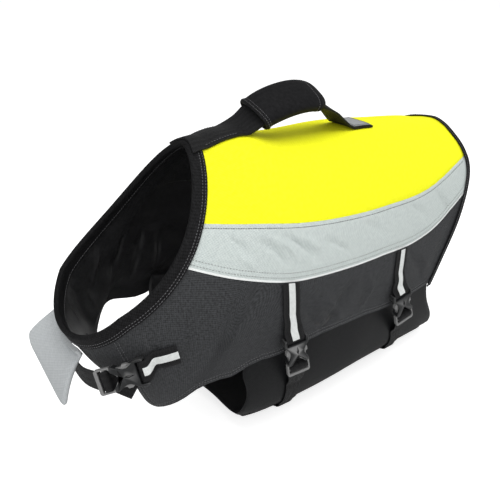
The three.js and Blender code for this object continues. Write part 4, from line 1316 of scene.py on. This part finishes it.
def flap_face(height):
    side = np.linspace(-1, 1, 60)
    share = (side + 1) / 2
    y = FLAP_FROM + (FLAP_TO - FLAP_FROM) * share
    way = way_low(FLAP_TOP, y)
    head = on_vest(np.full(60, FLAP_TOP), way, TAPE_THICK + 0.8 + height)
    neck = on_vest(np.full(60, FLAP_TOP + 0.07), way, TAPE_THICK + 0.8 + height)
    foot = FLAP_RIGHT_FOOT + (FLAP_LEFT_FOOT - FLAP_RIGHT_FOOT) * share[:, None]
    out = unit(np.array([-1, 0, 0.1]))
    past = np.clip(np.abs(side) - (1 - FLAP_CORNER), 0, None) / FLAP_CORNER
    rounding = np.where(side < 0, *FLAP_ROUNDING)
    reach = 1 - rounding * (1 - np.sqrt(np.clip(1 - past**2, 0, 1)))
    rows = [head, (head + neck) / 2, neck]
    for u in np.linspace(0, 1, 40):
        v = (FLAP_HANG + (reach - FLAP_HANG) * u)[:, None]
        rows.append(neck + (foot - neck) * v + out * (height + 3 * np.sin(np.pi * v)))
    return np.stack(rows, 1)


outer, inner = flap_face(FLAP_THICK), flap_face(0.0)
middle, half = (outer + inner) / 2, (outer - inner) / 2
from_side = np.minimum(*(np.linalg.norm(middle - middle[k][None], axis=-1) for k in (0, -1)))
from_foot = np.linalg.norm(middle - middle[:, -1:], axis=-1)
edge = np.clip(np.minimum(from_side, from_foot) / 3.0, 0, 1)
half = half * (0.35 + 0.65 * np.sqrt(1 - (1 - edge) ** 2))[..., None]
flap = shell("chin_flap_foam", middle + half, middle - half, flap_material, flap_material)
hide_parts("chin_flap")

# The sewing. Every seam and edge tape is topstitched with bonded thread, and the
# straps are tacked with boxes. Each row follows the finished cloth it is sewn to.


def stitch_tree():
    """Lays one stitch, a small bead of thread, at even steps along each line of a piece."""
    tree = bpy.data.node_groups.new("Rows of stitches", "GeometryNodeTree")
    face = tree.interface
    face.new_socket("Geometry", in_out="INPUT", socket_type="NodeSocketGeometry")
    for name in ("Spacing", "Length", "Width"):
        face.new_socket(name, in_out="INPUT", socket_type="NodeSocketFloat")
    face.new_socket("Thread", in_out="INPUT", socket_type="NodeSocketMaterial")
    face.new_socket("Geometry", in_out="OUTPUT", socket_type="NodeSocketGeometry")
    given = add_node(tree, "NodeGroupInput").outputs
    curve = add_node(tree, "GeometryNodeMeshToCurve", {"Mesh": given["Geometry"]})
    even = add_node(
        tree, "GeometryNodeResampleCurve", {"Curve": curve.outputs["Curve"], "Length": given["Spacing"]}, mode="LENGTH"
    )
    bead = add_node(tree, "GeometryNodeMeshUVSphere", {"Segments": 6, "Rings": 4, "Radius": 0.5})
    size = add_node(
        tree, "ShaderNodeCombineXYZ", {"X": given["Length"], "Y": given["Width"], "Z": given["Width"]}
    )
    tangent = add_node(tree, "GeometryNodeInputTangent")
    turn = add_node(
        tree, "FunctionNodeAlignRotationToVector", {"Vector": tangent.outputs["Tangent"]}, axis="X"
    )
    uneven_size = add_node(tree, "FunctionNodeRandomValue", {"Seed": 7}, data_type="FLOAT")
    uneven_size.inputs[2].default_value = 0.85
    uneven_size.inputs[3].default_value = 1.1
    scale = add_node(
        tree, "ShaderNodeVectorMath", {0: size.outputs[0], "Scale": uneven_size.outputs[1]}, operation="SCALE"
    )
    laid = add_node(
        tree,
        "GeometryNodeInstanceOnPoints",
        {
            "Points": even.outputs["Curve"],
            "Instance": bead.outputs["Mesh"],
            "Rotation": turn.outputs["Rotation"],
            "Scale": scale.outputs[0],
        },
    )
    real = add_node(tree, "GeometryNodeRealizeInstances", {"Geometry": laid.outputs["Instances"]})
    coloured = add_node(
        tree, "GeometryNodeSetMaterial", {"Geometry": real.outputs["Geometry"], "Material": given["Thread"]}
    )
    add_node(tree, "NodeGroupOutput", {"Geometry": coloured.outputs["Geometry"]})
    return tree


STITCHES = stitch_tree()


def thread_material(name, dark, light):
    material, tree, shader = empty_material(name)
    place = add_node(tree, "ShaderNodeTexCoord").outputs["Object"]
    twist = add_node(tree, "ShaderNodeTexNoise", {"Vector": place, "Scale": 2500.0, "Detail": 2.0})
    colour = add_node(
        tree,
        "ShaderNodeMix",
        {"Factor": twist.outputs["Fac"], "A": (*dark, 1), "B": (*light, 1)},
        data_type="RGBA",
    )
    bump = add_node(
        tree, "ShaderNodeBump", {"Height": twist.outputs["Fac"], "Strength": 0.4, "Distance": 0.0001}
    )
    tree.links.new(colour.outputs["Result"], shader.inputs["Base Color"])
    tree.links.new(bump.outputs["Normal"], shader.inputs["Normal"])
    shader.inputs["Roughness"].default_value = 0.5
    return material


black_thread = thread_material("black_thread", (0.002, 0.002, 0.002), (0.02, 0.02, 0.021))
grey_thread = thread_material("dark_grey_thread", (0.05, 0.05, 0.052), (0.13, 0.13, 0.135))
pale_thread = thread_material("grey_thread", (0.20, 0.21, 0.21), (0.34, 0.35, 0.35))


def sew(name, carriers, rows, thread, spacing=3.0, length=2.3, width=0.75):
    """Rows of stitches laid on the finished faces of their carriers. rows are pattern points."""
    points, edges = [], []
    for row, carrier in zip(rows, carriers):
        for k, point in enumerate((np.asarray(row) - HELD_AT) * MM):
            _, place, normal, _ = carrier.closest_point_on_mesh(Vector(point))
            if k:
                edges.append((len(points) - 1, len(points)))
            points.append(place + normal * 0.12 * MM)
    mesh = bpy.data.meshes.new(f"{name}_lines")
    mesh.from_pydata(points, edges, [])
    lines = bpy.data.objects.new(f"{name}_lines", mesh)
    bpy.context.scene.collection.objects.link(lines)
    modifier = lines.modifiers.new("stitches", "NODES")
    modifier.node_group = STITCHES
    values = {"Spacing": spacing * MM, "Length": length * MM, "Width": width * MM, "Thread": thread}
    for item in STITCHES.interface.items_tree:
        if item.name in values:
            modifier[item.identifier] = values[item.name]
    ready = lines.evaluated_get(bpy.context.evaluated_depsgraph_get())
    sewn = bpy.data.meshes.new_from_object(ready)
    bpy.data.objects.remove(lines)
    piece = bpy.data.objects.new(name, sewn)
    bpy.context.scene.collection.objects.link(piece)
    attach(piece, "root")


def seam_row(side, seam, offset, first, last):
    """A row offset millimetres below a seam, between two rings."""
    ring = np.linspace(first, last, 220)
    way = side * (seam(ring) + offset / mm_round(ring, side * seam(ring)))
    keep = ring < tail_edge(way) - 0.1
    return on_vest(ring[keep], way[keep], 0.0)


def hem_row(side, offset):
    """A row offset millimetres inside the hem of a side panel, round its lobe and arch."""
    ring = np.linspace(0.15, 5.9, 900)
    ring = ring[ring < tail_edge(side_hem(ring, side)) - 0.1]
    points = cut_point(ring, side * side_hem(ring, side))
    along = unit(np.gradient(points, axis=0))
    inward = np.cross(along, outward(ring, side * side_hem(ring, side))) * side
    return points + inward * offset


def under_row(ring, way):
    way = np.full(ring.shape, way)
    return cut_point(ring, way) - outward(ring, way) * BELLY_INSET


for side_name, side in (("left", LEFT), ("right", RIGHT)):
    band = bpy.data.objects[f"band_cloth_{side_name}"]
    panel = bpy.data.objects[f"side_cloth_{side_name}"]
    sew(f"yellow_seam_{side_name}", [band], [seam_row(side, yellow_seam, 4.2, 0.2, 5.9)], grey_thread, 2.4, 2.3)
    sew(
        f"lip_rows_{side_name}",
        [band, band],
        [seam_row(side, grey_seam, offset, 0.2, 5.9) for offset in (-4.6, -9.2)],
        pale_thread,
    )
    sew(f"hem_rows_{side_name}", [panel, panel], [hem_row(side, 3.0), hem_row(side, 6.0)], grey_thread)

# The lower border of the belly panel, next to its pad.
for side_name, side in (("left", LEFT), ("right", RIGHT)):
    ring = np.linspace(2.78, 6.02, 260)
    border = [under_row(ring, side * share) for share in (0.868, 0.880)]
    sew(f"belly_rows_{side_name}", [belly] * 2, border, grey_thread)

neck_points = [
    on_vest(inset / mm_back(0.05, neck_way), neck_way, 2.0) for inset in (NECK_TAPE - 1.6, NECK_TAPE - 4.4)
]
neck_inside = [
    cut_point(inset / mm_back(0.05, neck_way), neck_way) - outward(0.05, neck_way) * 6.0
    for inset in (NECK_TAPE - 1.6,)
]
sew("neck_rows", [neck_tape] * 3, neck_points + neck_inside, grey_thread)
tail_inset = tail_edge(tail_way) - (TAIL_TAPE - 1.5) / mm_back(5.8, tail_way)
sew("tail_row", [tail_tape], [on_vest(tail_inset, tail_way, 2.0)], grey_thread)

# Each belly strap's tape is sewn along both borders and tacked through the strap.
for node in [name for name in strap_rows if "reflector" in name and "chest" not in name]:
    at, across = strap_rows[node]
    tape = bpy.data.objects[node.replace("_reflector_", "_tape_")]
    half = REFLECTIVE / 2 - 0.7
    borders = [at[:13] + across[:13] * k for k in (half, -half)]
    sew(f"{node}_rows", [tape] * 2, borders, grey_thread, 2.0, 1.9, 0.6)
    tack = at[11] + across[11] * np.linspace(-half - 0.6, half + 0.6, 6)[:, None]
    sew(f"{node}_tack", [tape], [tack], black_thread, 1.2, 1.4, 1.0)

# The box and cross where the chest strap's tape is sewn to the lobe.
at, across = strap_rows["chest_reflector"]
tape = bpy.data.objects["chest_tape"]
first, last = at[0] * 0.93 + at[1] * 0.07, at[3]
wide = (REFLECTIVE / 2 - 0.8) * across
corners = [first + wide[0], first - wide[0], last - wide[3], last + wide[3]]


def straight(a, b):
    return a + (b - a) * np.linspace(0, 1, 14)[:, None]


box_rows = [straight(corners[k], corners[(k + 1) % 4]) for k in range(4)]
box_rows += [straight(corners[0], corners[2]), straight(corners[1], corners[3])]
sew("chest_patch_box", [tape] * 6, box_rows, black_thread, 1.8, 1.8, 0.6)

# The sewn ends of the handle, its patch and the rim of its grip.
edge_columns = np.array([-0.42, 0.42])
front_rows = sewn_rows([0.1, 0.3, 0.5, 0.7, 0.9], [OVER_PANEL + HANDLE_THICK] * 5, 0.0, edge_columns)
sew("handle_front_rows", [handle] * 2, [front_rows[:, 0], front_rows[:, 1]], grey_thread)
corners = sewn_rows([3.90, 4.21], [patch_low + 1.0] * 2, LAND_Y, np.array([-0.40, 0.40])).reshape(4, 3)[[0, 1, 3, 2]]
patch_rows_sewn = [straight(corners[k], corners[(k + 1) % 4]) for k in range(4)]
sew("handle_patch_box", [patch] * 4, patch_rows_sewn, black_thread, 2.2, 2.1, 0.7)
for name, station, carrier in (("grip_front_row", 0.055, grip), ("grip_rim_row", 0.018, rim), ("grip_rear_row", 0.84, grip)):
    loop = grip_sleeve(GRIP_WIDTH + 1, GRIP_HEIGHT + 1, np.array([station]), np.ones(1))[0]
    sew(name, [carrier], [np.concatenate([loop, loop[:1]])], grey_thread, 2.4, 2.0, 0.6)
